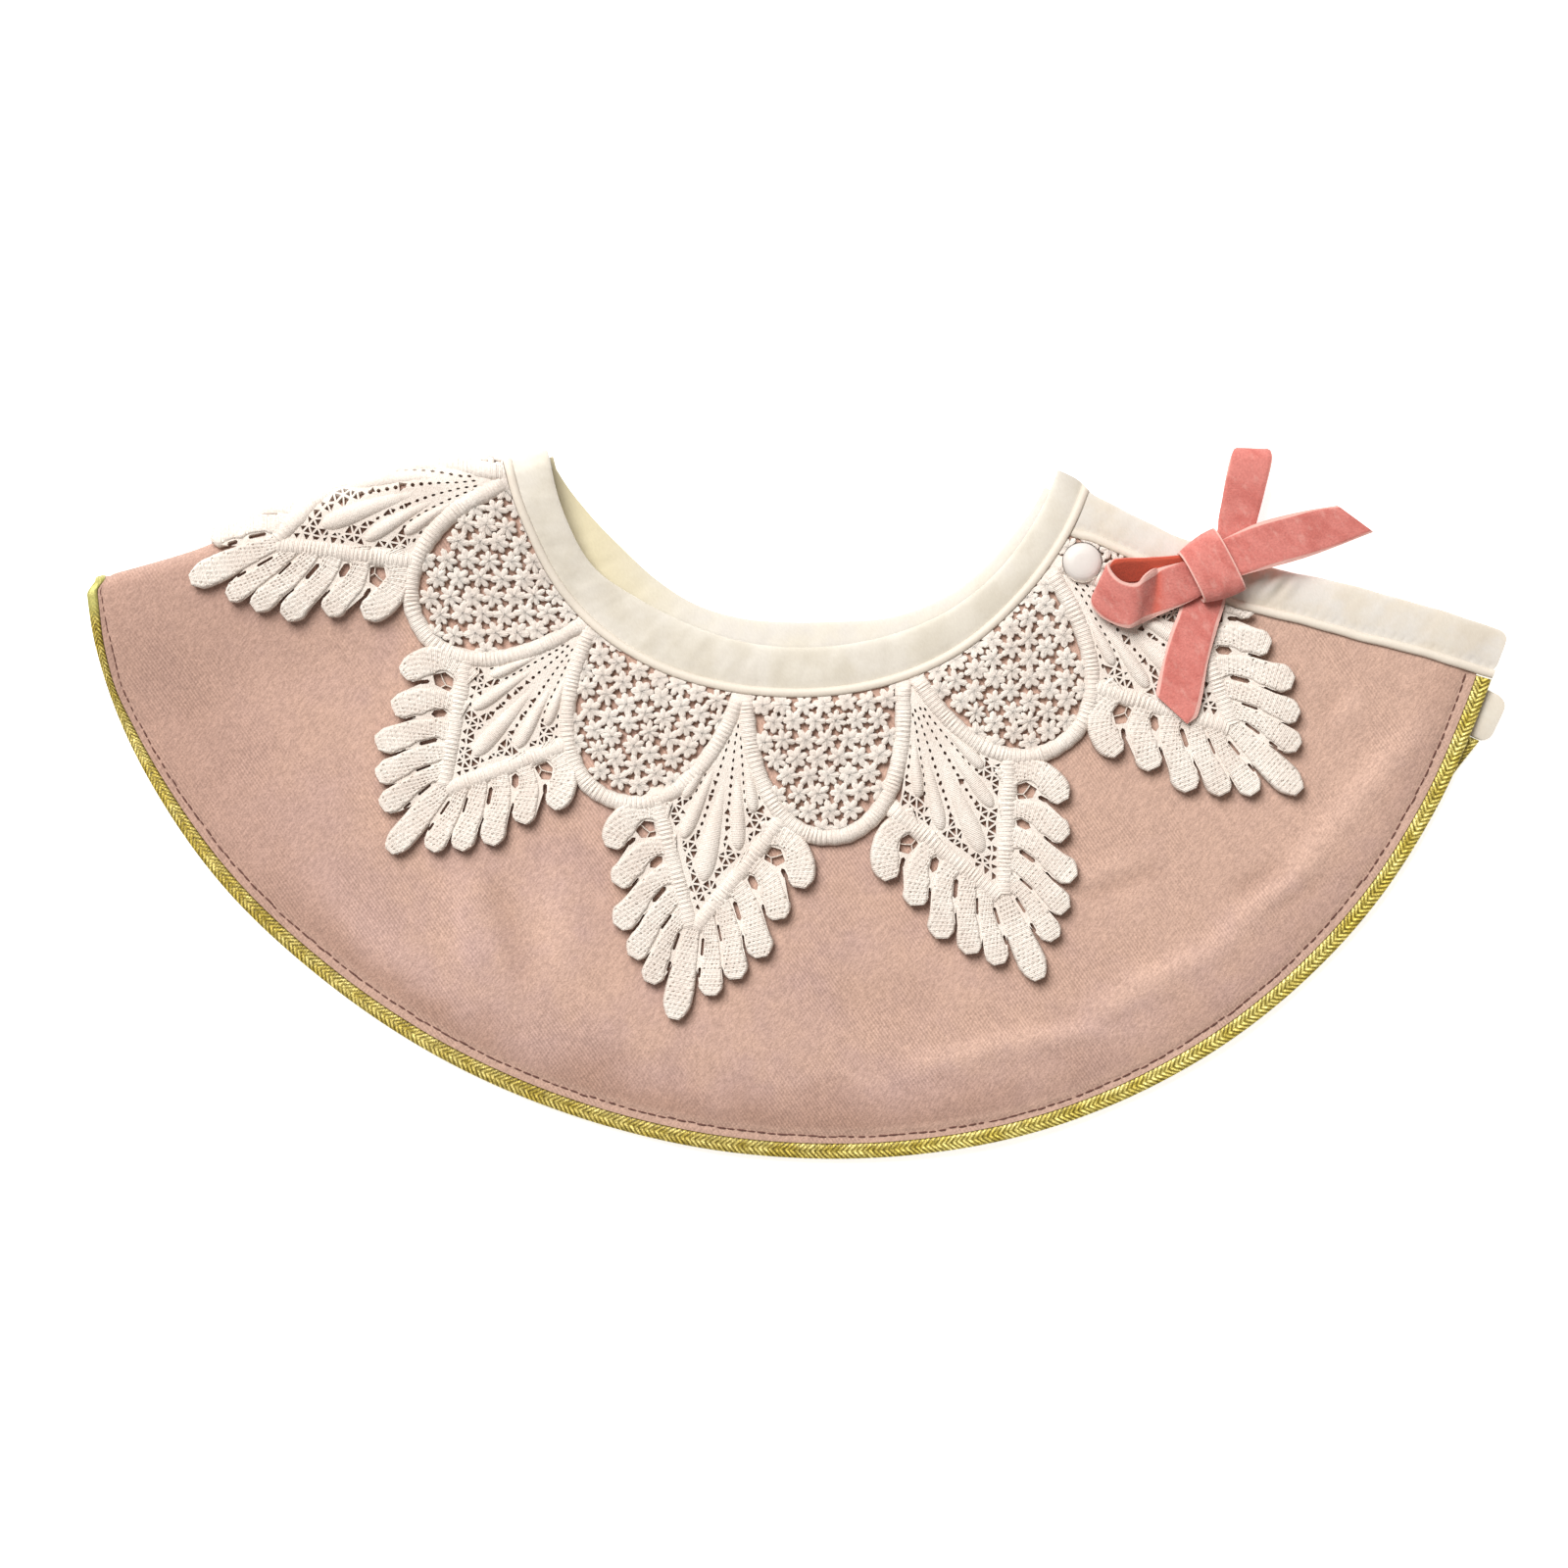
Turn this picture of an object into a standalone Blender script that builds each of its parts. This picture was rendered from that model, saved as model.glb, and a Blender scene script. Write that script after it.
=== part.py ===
"""Round baby bib with a lace collar, closed at one shoulder and folded at the other.

The bib lies flat: its front half on top, its back half hidden below, and the
opening edge with its binding, snap and velvet bow on the right. Sizes are in
millimetres and each mesh is written in metres.

Flat directions: "along" runs out from the neck centre on the fold line, and
"across" runs from the fold into the front. A sweep is the angle in degrees from
the fold line, round the front, to the opening edge.
"""
import bpy
from math import asin, atan2, ceil, cos, degrees, hypot, pi, radians, sin, sqrt
from mathutils import Vector
from mathutils.geometry import delaunay_2d_cdt

MM = 0.001
GAP = 0.3                  # clearance at every seam and between layers

# Driving sizes of the cloth
CLOTH_WALL = 1.5
HIDDEN_DEPTH = 3.0         # the back half pressed flat: its own lace and cloth
HIDDEN_EASE = 0.3          # keeps the hidden half's facets under the front's
NOSE_RADIUS = 4.0          # outer radius of the soft fold on the closed shoulder
NOSE_LIFT = 1.5            # the fold's nose rests on the lace that wraps below it
FOLD_RUN = 40.0            # distance over which the front settles from the fold
FRONT_TOP = HIDDEN_DEPTH + GAP + CLOTH_WALL
NOSE_CENTRE_Z = NOSE_LIFT + NOSE_RADIUS
FOLD_RISE = NOSE_CENTRE_Z + NOSE_RADIUS - FRONT_TOP

# Plan of the bib round its neck centre
NECK_CENTRE = Vector((0.0, 100.0))
FOLD_BEARING = radians(194.5)
OPEN_SWEEP = 146.7         # the opening edge, seen from the fold
OPEN_BEARING = FOLD_BEARING + radians(OPEN_SWEEP)
PLACKET_SWEEP = 141.0      # a sweep in the middle of the placket's width
FAN_BEND_FROM = 118.0      # past this sweep the stations turn parallel to the opening

RINGS = (
    # sweep, back_neck, front_neck, seam, hem
    (0.0, 64.1, 64.9, 76.1, 183.4),
    (4.0, 62.9, 65.3, 76.2, 185.2),
    (12.0, 60.6, 66.0, 76.4, 187.5),
    (24.0, 58.4, 66.8, 77.6, 188.3),
    (36.0, 58.1, 64.7, 77.9, 187.4),
    (48.0, 58.1, 63.5, 77.2, 187.1),
    (60.0, 57.2, 63.0, 75.9, 187.4),
    (72.0, 56.2, 62.6, 75.0, 188.5),
    (84.0, 56.6, 62.6, 74.8, 190.0),
    (96.0, 58.8, 63.2, 74.9, 191.4),
    (108.0, 60.6, 64.1, 74.8, 191.4),
    (120.0, 61.6, 64.7, 74.2, 190.0),
    (132.0, 62.2, 64.9, 74.1, 187.0),
    (140.0, 63.2, 65.1, 74.3, 184.6),
    (150.0, 64.3, 65.4, 74.4, 182.8),
)
BACK_NECK, FRONT_NECK, SEAM, HEM = 1, 2, 3, 4
FOLD_STATIONS = (0.0, 1.5, 3.0, 5.0, 7.5, 10.5, 14.0, 18.0, 22.5, 27.0)
STATION_PITCH = 4.6

FOLD_BOW = (
    # along, how far the fold line bows outward
    (0.0, 0.0),
    (60.0, -2.0),
    (76.0, -1.5),
    (98.0, 1.4),
    (120.0, 0.4),
    (140.0, -1.3),
    (156.0, -3.6),
    (186.0, -4.3),
)
FOLD_BOW_RUN = 60.0
CORNER_PULL = 2.6          # the hem's corner on the fold is drawn in towards the neck
CORNER_FROM = 150.0
CORNER_RUN = 34.0

OPENING = (
    # radius, dip of the opening edge into the front, width of placket and piping
    (60.0, -2.9, 12.2),
    (66.0, -2.6, 12.2),
    (71.0, -1.7, 12.2),
    (75.0, 0.2, 11.8),
    (80.0, 1.2, 10.7),
    (91.0, 2.5, 10.1),
    (101.0, 3.6, 10.7),
    (116.0, 3.6, 12.1),
    (128.0, 2.8, 12.1),
    (147.0, 0.7, 12.9),
    (160.0, 0.1, 12.5),
    (186.0, -0.8, 12.2),
)
OPEN_DIP, OPEN_WIDTH = 1, 2

SOFT_WAVES = (
    # sweep, half_width, height: low lifts of the cloth towards the hem
    (27.0, 8.0, 0.5),
    (47.0, 10.0, 0.9),
    (68.0, 7.0, 0.6),
    (89.0, 11.0, 1.1),
    (109.0, 7.0, 0.6),
    (125.0, 8.0, 0.8),
)
WAVE_FROM_RADIUS = 128.0
WAVE_RUN = 52.0
HEM_DROOP = 0.8
HEM_DROOP_RUN = 16.0

# Trims
PIPING_WIDTH = 2.2
PIPING_RISE = 1.6
PIPING_EDGE = 0.5          # thickness of the piping where it meets its seam
BAND_PUFF = 0.9
BAND_EDGE = -0.6           # height of a band's rolled edge beside the cloth's face
PANEL_EASE = 0.8           # the panel stops short of the placket, under its piping
PLACKET_OVERHANG = 0.6     # how far the placket's end stands past the hem
BRAID_WIDTH = 3.1
BRAID_RISE = 0.35
BACK_TRIM_DEPTH = 2.1
BACK_TRIM_EDGE = 1.4
BACK_BAND_WIDTH = 12.0
BACK_BRAID_DEPTH = 1.8
BACK_BRAID_EDGE = 1.5

BACK_HEM = (
    # sweep, how far the back hem stands out past the front hem
    (0.0, -1.2),
    (118.0, -1.2),
    (131.0, -1.0),
    (135.0, 0.2),
    (138.0, 2.2),
    (142.0, 5.4),
    (150.0, 6.4),
)
BACK_OPENING = (
    # radius, how far the back opening edge lies inside the front opening line
    (56.0, 1.2),
    (72.0, 3.2),
    (188.0, 17.0),
    (194.0, 17.7),
)

# Lace collar
NET_WALL = 1.0
CORD_RISE = 1.1
TEAR_RISE = 1.0
FINGER_RISE = 0.45
FINGER_HALF_WIDTH = 3.6
CORD_HALF_WIDTH = 2.2
LACE_WRAP = 9.4            # how far lace and piping are carried round the fold
LEAF_LENGTH = 81.4         # the repeat as drawn below, from apex to tip

LEAVES = (
    # apex_sweep, tip_sweep, tip_radius, left_width, right_width
    (0.6, 1.2, 157.6, 1.0, 1.0),
    (32.6, 33.3, 152.4, 1.2, 1.06),
    (63.8, 63.7, 157.6, 1.0, 1.0),
    (94.8, 97.4, 155.7, 1.0, 1.0),
    (132.1, 126.7, 156.7, 1.0, 1.0),
)
SCALLOPS = (
    # sweep, foot_sweep, half_width, depth
    (-15.6, -15.6, 20.0, 34.4),
    (16.5, 17.5, 20.0, 34.2),
    (48.2, 50.0, 20.3, 33.8),
    (79.3, 79.0, 19.5, 34.8),
    (113.2, 111.2, 21.0, 32.8),
    (147.0, 144.2, 19.8, 34.0),
)
SCALLOP_POWER = 2.2        # the bays are a little squarer than a half ellipse
FOOT_END_RADIUS = 128.0    # the lace leaves the placket's piping at this radius
SCALLOP_TUCK = 8.0         # how far a bay is carried back under the neck seam
LACE_RADII = (70.0, 162.0)                                  # the collar lies between these

FINGERS = (
    # root_u, root_v, bend_u, bend_v, end_u, end_v, width, notch
    (11.5, 32.6, 22.6, 31.2, 23.4, 43.6, 6.2, 0.72),
    (8.0, 40.0, 16.4, 42.0, 20.2, 52.2, 6.4, 0.66),
    (6.0, 45.5, 12.6, 49.6, 17.9, 62.2, 6.3, 0.62),
    (4.4, 50.0, 8.8, 55.8, 12.8, 68.7, 6.1, 0.62),
    (2.6, 54.5, 5.6, 62.2, 7.6, 73.9, 5.9, 0.64),
)
TIP_FINGER = (0.0, 57.0, 0.0, 68.0, 0.0, 81.4, 7.2, 0.6)
FINGER_STEPS = ((0.86, 0.5), (0.97, 0.36), (1.0, 0.12))     # place along, half-width
LEAF_SHOULDER = ((0.0, -1.0), (3.4, 9.0), (7.6, 18.0), (13.0, 26.5))
FIRST_FINGER_BACK = (0.2, 0.45, 0.68)
ARM = ((14.4, 30.4), (8.6, 41.6), (0.0, 58.6))
TEARDROPS = (
    # start_u, start_v, end_u, end_v, half_width
    (0.0, 12.0, 0.0, 47.0, 2.8),
    (1.6, 11.0, 7.0, 37.6, 2.2),
    (2.6, 9.0, 9.2, 27.8, 1.9),
)
TEAR_SWELL = ((0.35, 0.35), (0.82, 1.0))                    # place along, share of width
TEAR_RIDGE = (0.4, 0.84)
FINGER_RIDGE = (0.2, 0.6, 0.88)
ROOT_HOLE = ((13.7, 35.1), (17.1, 35.4), (18.8, 38.1), (16.9, 39.7), (13.6, 38.6))
FOLD_LINES = (-7.5, -5.6, -3.7, -1.8, 0.0, 8.0, 16.0, 24.0, 32.0, 40.0)

# Snap and bow, placed from the neck centre
SNAP_CENTRE = Vector((68.6, -41.6))
SNAP_RADIUS = 4.9
SNAP_PROFILE = ((4.5, 0.0), (SNAP_RADIUS, 0.7), (4.7, 1.6), (3.9, 2.4), (2.3, 2.9))
SNAP_SIDES = 20
SNAP_HOLE_SIDES = 14
RIBBON_WALL = 1.2

KNOT_CENTRE = Vector((100.1, -42.6))
KNOT_WRAP_BEARING = radians(-63.6)
KNOT_LENGTH = 8.3
KNOT_HALF_WIDTH = 5.3
KNOT_BOTTOM = 7.0
KNOT_TOP = 15.2
KNOT_STATIONS = ((-1.0, 0.93), (-0.55, 1.0), (0.0, 1.02), (0.55, 1.0), (1.0, 0.95))

LEFT_LOOP = (
    # rim_x, rim_y, rim_z, foot_x, foot_y, foot_z
    (91.3, -42.4, 13.6, 95.6, -51.2, 10.6),
    (88.0, -42.9, 13.2, 90.7, -53.6, 10.0),
    (85.4, -44.0, 12.6, 86.6, -55.5, 9.0),
    (83.1, -45.6, 12.6, 83.0, -57.2, 8.4),
    (81.4, -46.9, 12.8, 80.4, -57.8, 8.3),
    (78.2, -46.6, 12.9, 75.9, -56.5, 8.3),
    (75.9, -44.7, 13.0, 72.2, -54.2, 8.3),
    (74.9, -42.6, 13.0, 70.9, -51.6, 8.3),
    (75.9, -41.1, 13.0, 72.8, -48.9, 8.3),
    (79.8, -40.9, 12.8, 78.2, -46.9, 8.3),
    (84.6, -40.8, 12.2, 84.6, -46.4, 8.3),
    (89.9, -40.3, 11.2, 91.3, -45.6, 8.3),
)
UPRIGHT_LOOP = (
    # left_x, left_y, left_z, right_x, right_y, right_z
    (101.8, -33.4, 9.2, 107.4, -41.6, 9.2),
    (101.9, -31.6, 9.4, 111.3, -32.6, 9.4),
    (103.4, -22.6, 10.4, 113.4, -23.4, 10.6),
    (104.6, -16.4, 10.6, 115.0, -16.6, 10.8),
    (105.8, -14.0, 9.0, 114.6, -14.3, 9.2),
    (104.9, -16.4, 7.2, 114.6, -16.8, 7.2),
    (103.6, -22.8, 6.6, 113.1, -23.6, 6.6),
    (102.3, -31.4, 6.4, 111.0, -33.0, 6.4),
)
RIGHT_TAIL = (
    # upper_x, upper_y, upper_z, lower_x, lower_y, lower_z
    (103.05, -36.05, 12.0, 107.6, -45.05, 12.0),
    (111.1, -32.3, 12.4, 114.4, -43.2, 11.8),
    (121.3, -29.5, 11.6, 124.6, -40.2, 10.8),
    (131.0, -27.8, 10.2, 140.1, -34.3, 9.0),
)
DOWN_TAIL = (
    # left_x, left_y, left_z, right_x, right_y, right_z
    (92.0, -54.4, 8.3, 103.4, -52.6, 8.3),
    (90.4, -58.4, 8.3, 102.0, -57.0, 8.3),
    (88.7, -64.8, 8.3, 99.5, -66.0, 8.3),
    (86.6, -73.6, 8.2, 96.9, -79.4, 8.1),
    (87.1, -74.9, 8.2, 94.3, -81.5, 8.1),
)

# Colours and finishes: red, green, blue, roughness, sheen
MATERIALS = {
    "twill": (0.56, 0.35, 0.27, 0.85, 0.2),
    "lace": (0.84, 0.75, 0.66, 0.8, 0.1),
    "sateen": (0.82, 0.78, 0.66, 0.5, 0.3),
    "gold_braid": (0.45, 0.38, 0.07, 0.45, 0.0),
    "velvet": (0.72, 0.19, 0.17, 0.9, 0.6),
    "snap": (0.83, 0.79, 0.82, 0.25, 0.0),
}


def smooth(value):
    """Ease from 0 to 1 with level ends."""
    value = min(max(value, 0.0), 1.0)
    return value * value * (3.0 - 2.0 * value)


def mix(start, end, share):
    return start + (end - start) * share


def read_table(table, place, column=1):
    """Read a table at a place on a smooth curve through its rows."""
    if place <= table[0][0]:
        return table[0][column]
    if place >= table[-1][0]:
        return table[-1][column]
    last = len(table) - 1
    row = 0
    while table[row + 1][0] < place:
        row += 1

    def slope(index):
        before = table[max(index - 1, 0)]
        after = table[min(index + 1, last)]
        return (after[column] - before[column]) / (after[0] - before[0])

    width = table[row + 1][0] - table[row][0]
    share = (place - table[row][0]) / width
    square = share * share
    cube = square * share
    return (
        (2 * cube - 3 * square + 1) * table[row][column]
        + (cube - 2 * square + share) * width * slope(row)
        + (3 * square - 2 * cube) * table[row + 1][column]
        + (cube - square) * width * slope(row + 1)
    )


def ring(column, offset=0.0):
    """A ring of the bib as a function of sweep: the neck, the seam or the hem."""
    return lambda sweep: read_table(RINGS, sweep, column) + offset


def back_hem(offset=0.0):
    return lambda sweep: (
        read_table(RINGS, sweep, HEM) + read_table(BACK_HEM, sweep) + offset
    )


def unit(bearing):
    return Vector((cos(bearing), sin(bearing)))


ALONG = unit(FOLD_BEARING)
ACROSS = unit(FOLD_BEARING + pi / 2)
OPEN_ALONG = unit(OPEN_BEARING)
OPEN_INWARD = unit(OPEN_BEARING - pi / 2)


def from_polar(radius, sweep):
    angle = radians(sweep)
    return radius * cos(angle), radius * sin(angle)


def to_plan(along, across, height):
    flat = NECK_CENTRE + ALONG * along + ACROSS * across
    return Vector((flat.x, flat.y, height))


def fold_offset(along, across):
    """How far the bowed fold line carries the cloth, fading into the front."""
    fade = 1.0 - smooth(across / FOLD_BOW_RUN)
    return -read_table(FOLD_BOW, along) * fade


def cloth_lift(along, across):
    """Height of the front's outer face over its level part."""
    radius = hypot(along, across)
    sweep = degrees(atan2(across, along))
    lift = FOLD_RISE * (1.0 - smooth(across / FOLD_RUN))
    outward = smooth((radius - WAVE_FROM_RADIUS) / WAVE_RUN)
    for centre, half_width, height in SOFT_WAVES:
        lift += height * outward * (1.0 - smooth(abs(sweep - centre) / half_width))
    hem = read_table(RINGS, sweep, HEM)
    away_from_fold = smooth(across / FOLD_RUN)
    droop = smooth((radius - hem + HEM_DROOP_RUN) / HEM_DROOP_RUN)
    return lift - HEM_DROOP * droop * away_from_fold


def on_cloth(along, across, height):
    """Point at a height over the cloth; a negative across lies round the fold."""
    if across >= 0.0:
        plan_across = across + fold_offset(along, across)
        level = FRONT_TOP + cloth_lift(along, across) + height
        return to_plan(along, plan_across, level)
    turn = -across / NOSE_RADIUS
    along -= CORNER_PULL * smooth((along - CORNER_FROM) / CORNER_RUN) * smooth(turn)
    reach = NOSE_RADIUS + height
    plan_across = fold_offset(along, 0.0) - reach * sin(turn)
    return to_plan(along, plan_across, NOSE_CENTRE_Z + reach * cos(turn))


def on_floor(along, across, height):
    """Point of the hidden half, under the same plan as the front."""
    return to_plan(along, across + fold_offset(along, across), height)


def opening_edge(inset):
    """Depth of a line beside the front opening edge, as a function of radius."""
    return lambda radius: read_table(OPENING, radius, OPEN_DIP) + inset


def placket_foot(inset):
    """Depth of a line beside the inner edge of the placket's piping."""
    edge = opening_edge(inset)
    return lambda radius: edge(radius) + read_table(OPENING, radius, OPEN_WIDTH)


def back_edge(inset):
    return lambda radius: read_table(BACK_OPENING, radius) + inset


def sweep_of(depth, radius):
    """Sweep at a radius of the line that lies at a depth inside the opening line."""
    return OPEN_SWEEP - degrees(asin(depth(radius) / radius))


def add_material(name):
    red, green, blue, roughness, sheen = MATERIALS[name]
    material = bpy.data.materials.new(name)
    material.use_nodes = True
    shader = material.node_tree.nodes["Principled BSDF"]
    shader.inputs["Base Color"].default_value = (red, green, blue, 1.0)
    shader.inputs["Roughness"].default_value = roughness
    shader.inputs["Metallic"].default_value = 0.0
    shader.inputs["Sheen Weight"].default_value = sheen
    return material


def add_node(name, points, faces, material):
    mesh = bpy.data.meshes.new(name)
    mesh.from_pydata([tuple(point * MM) for point in points], [], faces)
    mesh.materials.append(material)
    mesh.shade_smooth()
    mesh.set_sharp_from_angle(angle=radians(40))
    node = bpy.data.objects.new(name, mesh)
    bpy.context.collection.objects.link(node)
    return node


def closed_sheet(upper, lower):
    """Points and faces of a wall between two equal grids of points."""
    rows = len(upper)
    columns = len(upper[0])
    points = [point for row in upper for point in row]
    points += [point for row in lower for point in row]
    below = rows * columns
    faces = []

    def index(row, column):
        return row * columns + column

    for row in range(rows - 1):
        for column in range(columns - 1):
            corners = (
                index(row, column),
                index(row, column + 1),
                index(row + 1, column + 1),
                index(row + 1, column),
            )
            faces.append(corners)
            faces.append(tuple(corner + below for corner in reversed(corners)))
    border = [index(row, 0) for row in range(rows)]
    border += [index(rows - 1, column) for column in range(1, columns)]
    border += [index(row, columns - 1) for row in range(rows - 2, -1, -1)]
    border += [index(0, column) for column in range(columns - 2, 0, -1)]
    for start, end in zip(border, border[1:] + border[:1]):
        faces.append((start, end, end + below, start + below))
    return points, faces


def steps_between(start, end, count):
    return [mix(start, end, step / count) for step in range(count + 1)]


def fan_stations():
    """Nominal sweeps of a ring's stations, closer together near the fold."""
    last = FOLD_STATIONS[-1]
    count = ceil((OPEN_SWEEP - last) / STATION_PITCH)
    return list(FOLD_STATIONS) + steps_between(last, OPEN_SWEEP, count)[1:]


def bent_sweep(nominal, radius, end):
    """Turn a station towards the ring's end over the last part of the front."""
    if nominal <= FAN_BEND_FROM:
        return nominal
    share = (nominal - FAN_BEND_FROM) / (OPEN_SWEEP - FAN_BEND_FROM)
    return mix(FAN_BEND_FROM, sweep_of(end, radius), share)


def ring_grid(inner, outer, rows, nose, stations, end):
    """Flat points (along, across, share) of a ring, with lines round the nose."""
    grid = []
    for across in nose:
        line = [(mix(inner(0.0), outer(0.0), share), across, share) for share in rows]
        grid.append(line)
    for nominal in stations:
        line = []
        for share in rows:
            sweep = nominal
            for _ in range(3):
                radius = mix(inner(sweep), outer(sweep), share)
                sweep = bent_sweep(nominal, radius, end)
            along, across = from_polar(radius, sweep)
            line.append((along, across, share))
        grid.append(line)
    return grid


def lift_grid(grid, surface, height):
    return [
        [surface(along, across, height(share)) for along, across, share in line]
        for line in grid
    ]


def level(height):
    return lambda share: height


def crown(edge, middle):
    """A height that rises from both edges to a rounded middle."""
    return lambda share: mix(edge, middle, sqrt(max(0.0, 1.0 - (2 * share - 1) ** 2)))


def nose_lines(count, wrap=NOSE_RADIUS * pi):
    """Lines round the nose, from a wrap's length below up to the top of the fold."""
    return [-wrap * (1.0 - step / count) for step in range(count)]


def make_panel_front(material):
    rows = steps_between(0.0, 1.0, 10)
    grid = ring_grid(
        ring(SEAM, -PIPING_WIDTH),
        ring(HEM, -BRAID_WIDTH - GAP),
        rows,
        nose_lines(7),
        fan_stations(),
        placket_foot(PANEL_EASE - PIPING_WIDTH),
    )
    upper = lift_grid(grid, on_cloth, level(0.0))
    lower = lift_grid(grid, on_cloth, level(-CLOTH_WALL))
    return add_node("panel_front", *closed_sheet(upper, lower), material)


def make_panel_back(material):
    """The hidden half in one solid: flat below, filling the fold above."""
    rows = steps_between(0.0, 1.0, 8)
    grid = ring_grid(
        ring(BACK_NECK, BACK_BAND_WIDTH + GAP),
        back_hem(-BRAID_WIDTH - GAP),
        rows,
        [GAP],
        fan_stations()[1:],
        back_edge(BACK_BAND_WIDTH + GAP),
    )
    upper = lift_grid(grid, on_cloth, level(-CLOTH_WALL - GAP - HIDDEN_EASE))
    lower = lift_grid(grid, on_floor, level(0.0))
    return add_node("panel_back", *closed_sheet(upper, lower), material)


def make_hem_braid_front(material):
    grid = ring_grid(
        ring(HEM, -BRAID_WIDTH),
        ring(HEM),
        [0.0, 0.5, 1.0],
        nose_lines(6),
        fan_stations(),
        placket_foot(GAP),
    )
    upper = lift_grid(grid, on_cloth, crown(0.0, BRAID_RISE))
    lower = lift_grid(grid, on_cloth, level(-CLOTH_WALL))
    return add_node("hem_braid_front", *closed_sheet(upper, lower), material)


def make_hem_braid_back(material):
    grid = ring_grid(
        back_hem(-BRAID_WIDTH),
        back_hem(),
        [0.0, 0.5, 1.0],
        [GAP],
        fan_stations()[1:],
        back_edge(BACK_BAND_WIDTH + GAP),
    )
    upper = lift_grid(grid, on_floor, crown(BACK_BRAID_EDGE, BACK_BRAID_DEPTH))
    lower = lift_grid(grid, on_floor, level(0.0))
    return add_node("hem_braid_back", *closed_sheet(upper, lower), material)


def make_neck_band_front(material):
    grid = ring_grid(
        ring(FRONT_NECK),
        ring(SEAM, -PIPING_WIDTH - GAP),
        [0.0, 0.08, 0.3, 0.6, 0.9, 1.0],
        nose_lines(6),
        fan_stations(),
        opening_edge(0.0),
    )
    upper = lift_grid(grid, on_cloth, crown(BAND_EDGE, BAND_PUFF))
    lower = lift_grid(grid, on_cloth, level(-CLOTH_WALL))
    return add_node("neck_band_front", *closed_sheet(upper, lower), material)


def make_neck_piping(material):
    grid = ring_grid(
        ring(SEAM, -PIPING_WIDTH),
        ring(SEAM),
        [0.0, 0.2, 0.5, 0.8, 1.0],
        nose_lines(5, LACE_WRAP),
        fan_stations(),
        opening_edge(0.0),
    )
    upper = lift_grid(grid, on_cloth, crown(GAP + PIPING_EDGE, GAP + PIPING_RISE))
    lower = lift_grid(grid, on_cloth, level(GAP))
    return add_node("neck_piping", *closed_sheet(upper, lower), material)


def make_neck_band_back(material):
    grid = ring_grid(
        ring(BACK_NECK),
        ring(BACK_NECK, BACK_BAND_WIDTH),
        [0.0, 0.1, 0.4, 1.0],
        [GAP],
        fan_stations()[1:],
        back_edge(0.0),
    )
    upper = lift_grid(grid, on_floor, crown(BACK_TRIM_EDGE, BACK_TRIM_DEPTH))
    lower = lift_grid(grid, on_floor, level(0.0))
    return add_node("neck_band_back", *closed_sheet(upper, lower), material)


def opening_strip(start, end, near, far, columns, count):
    """Flat points of a strip between two lines beside an opening, neck to hem."""
    grid = []
    for radius in steps_between(start, end, count):
        line = []
        for share in columns:
            sweep = mix(sweep_of(near, radius), sweep_of(far, radius), share)
            along, across = from_polar(radius, sweep)
            line.append((along, across, share))
        grid.append(line)
    return grid


def make_placket(name, near, far, columns, heights, material):
    start = read_table(RINGS, PLACKET_SWEEP, SEAM) + GAP
    end = read_table(RINGS, OPEN_SWEEP, HEM) + PLACKET_OVERHANG
    grid = opening_strip(start, end, near, far, columns, 18)
    upper = lift_grid(grid, on_cloth, heights[0])
    lower = lift_grid(grid, on_cloth, heights[1])
    return add_node(name, *closed_sheet(upper, lower), material)


def make_placket_back(material):
    start = read_table(RINGS, OPEN_SWEEP, BACK_NECK) + BACK_BAND_WIDTH + GAP
    end = back_hem()(PLACKET_SWEEP)
    columns = [0.0, 0.12, 0.5, 0.88, 1.0]
    grid = opening_strip(start, end, back_edge(0.0), back_edge(BACK_BAND_WIDTH), columns, 14)
    upper = lift_grid(grid, on_floor, crown(BACK_TRIM_EDGE, BACK_TRIM_DEPTH))
    lower = lift_grid(grid, on_floor, level(0.0))
    return add_node("placket_band_back", *closed_sheet(upper, lower), material)


def bezier(start, bend, end, share):
    return mix(mix(start, bend, share), mix(bend, end, share), share)


def bezier_side(start, bend, end, share):
    """Unit vector to the side of a finger's centre line."""
    run = mix(bend - start, end - bend, share).normalized()
    return Vector((run.y, -run.x))


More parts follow.
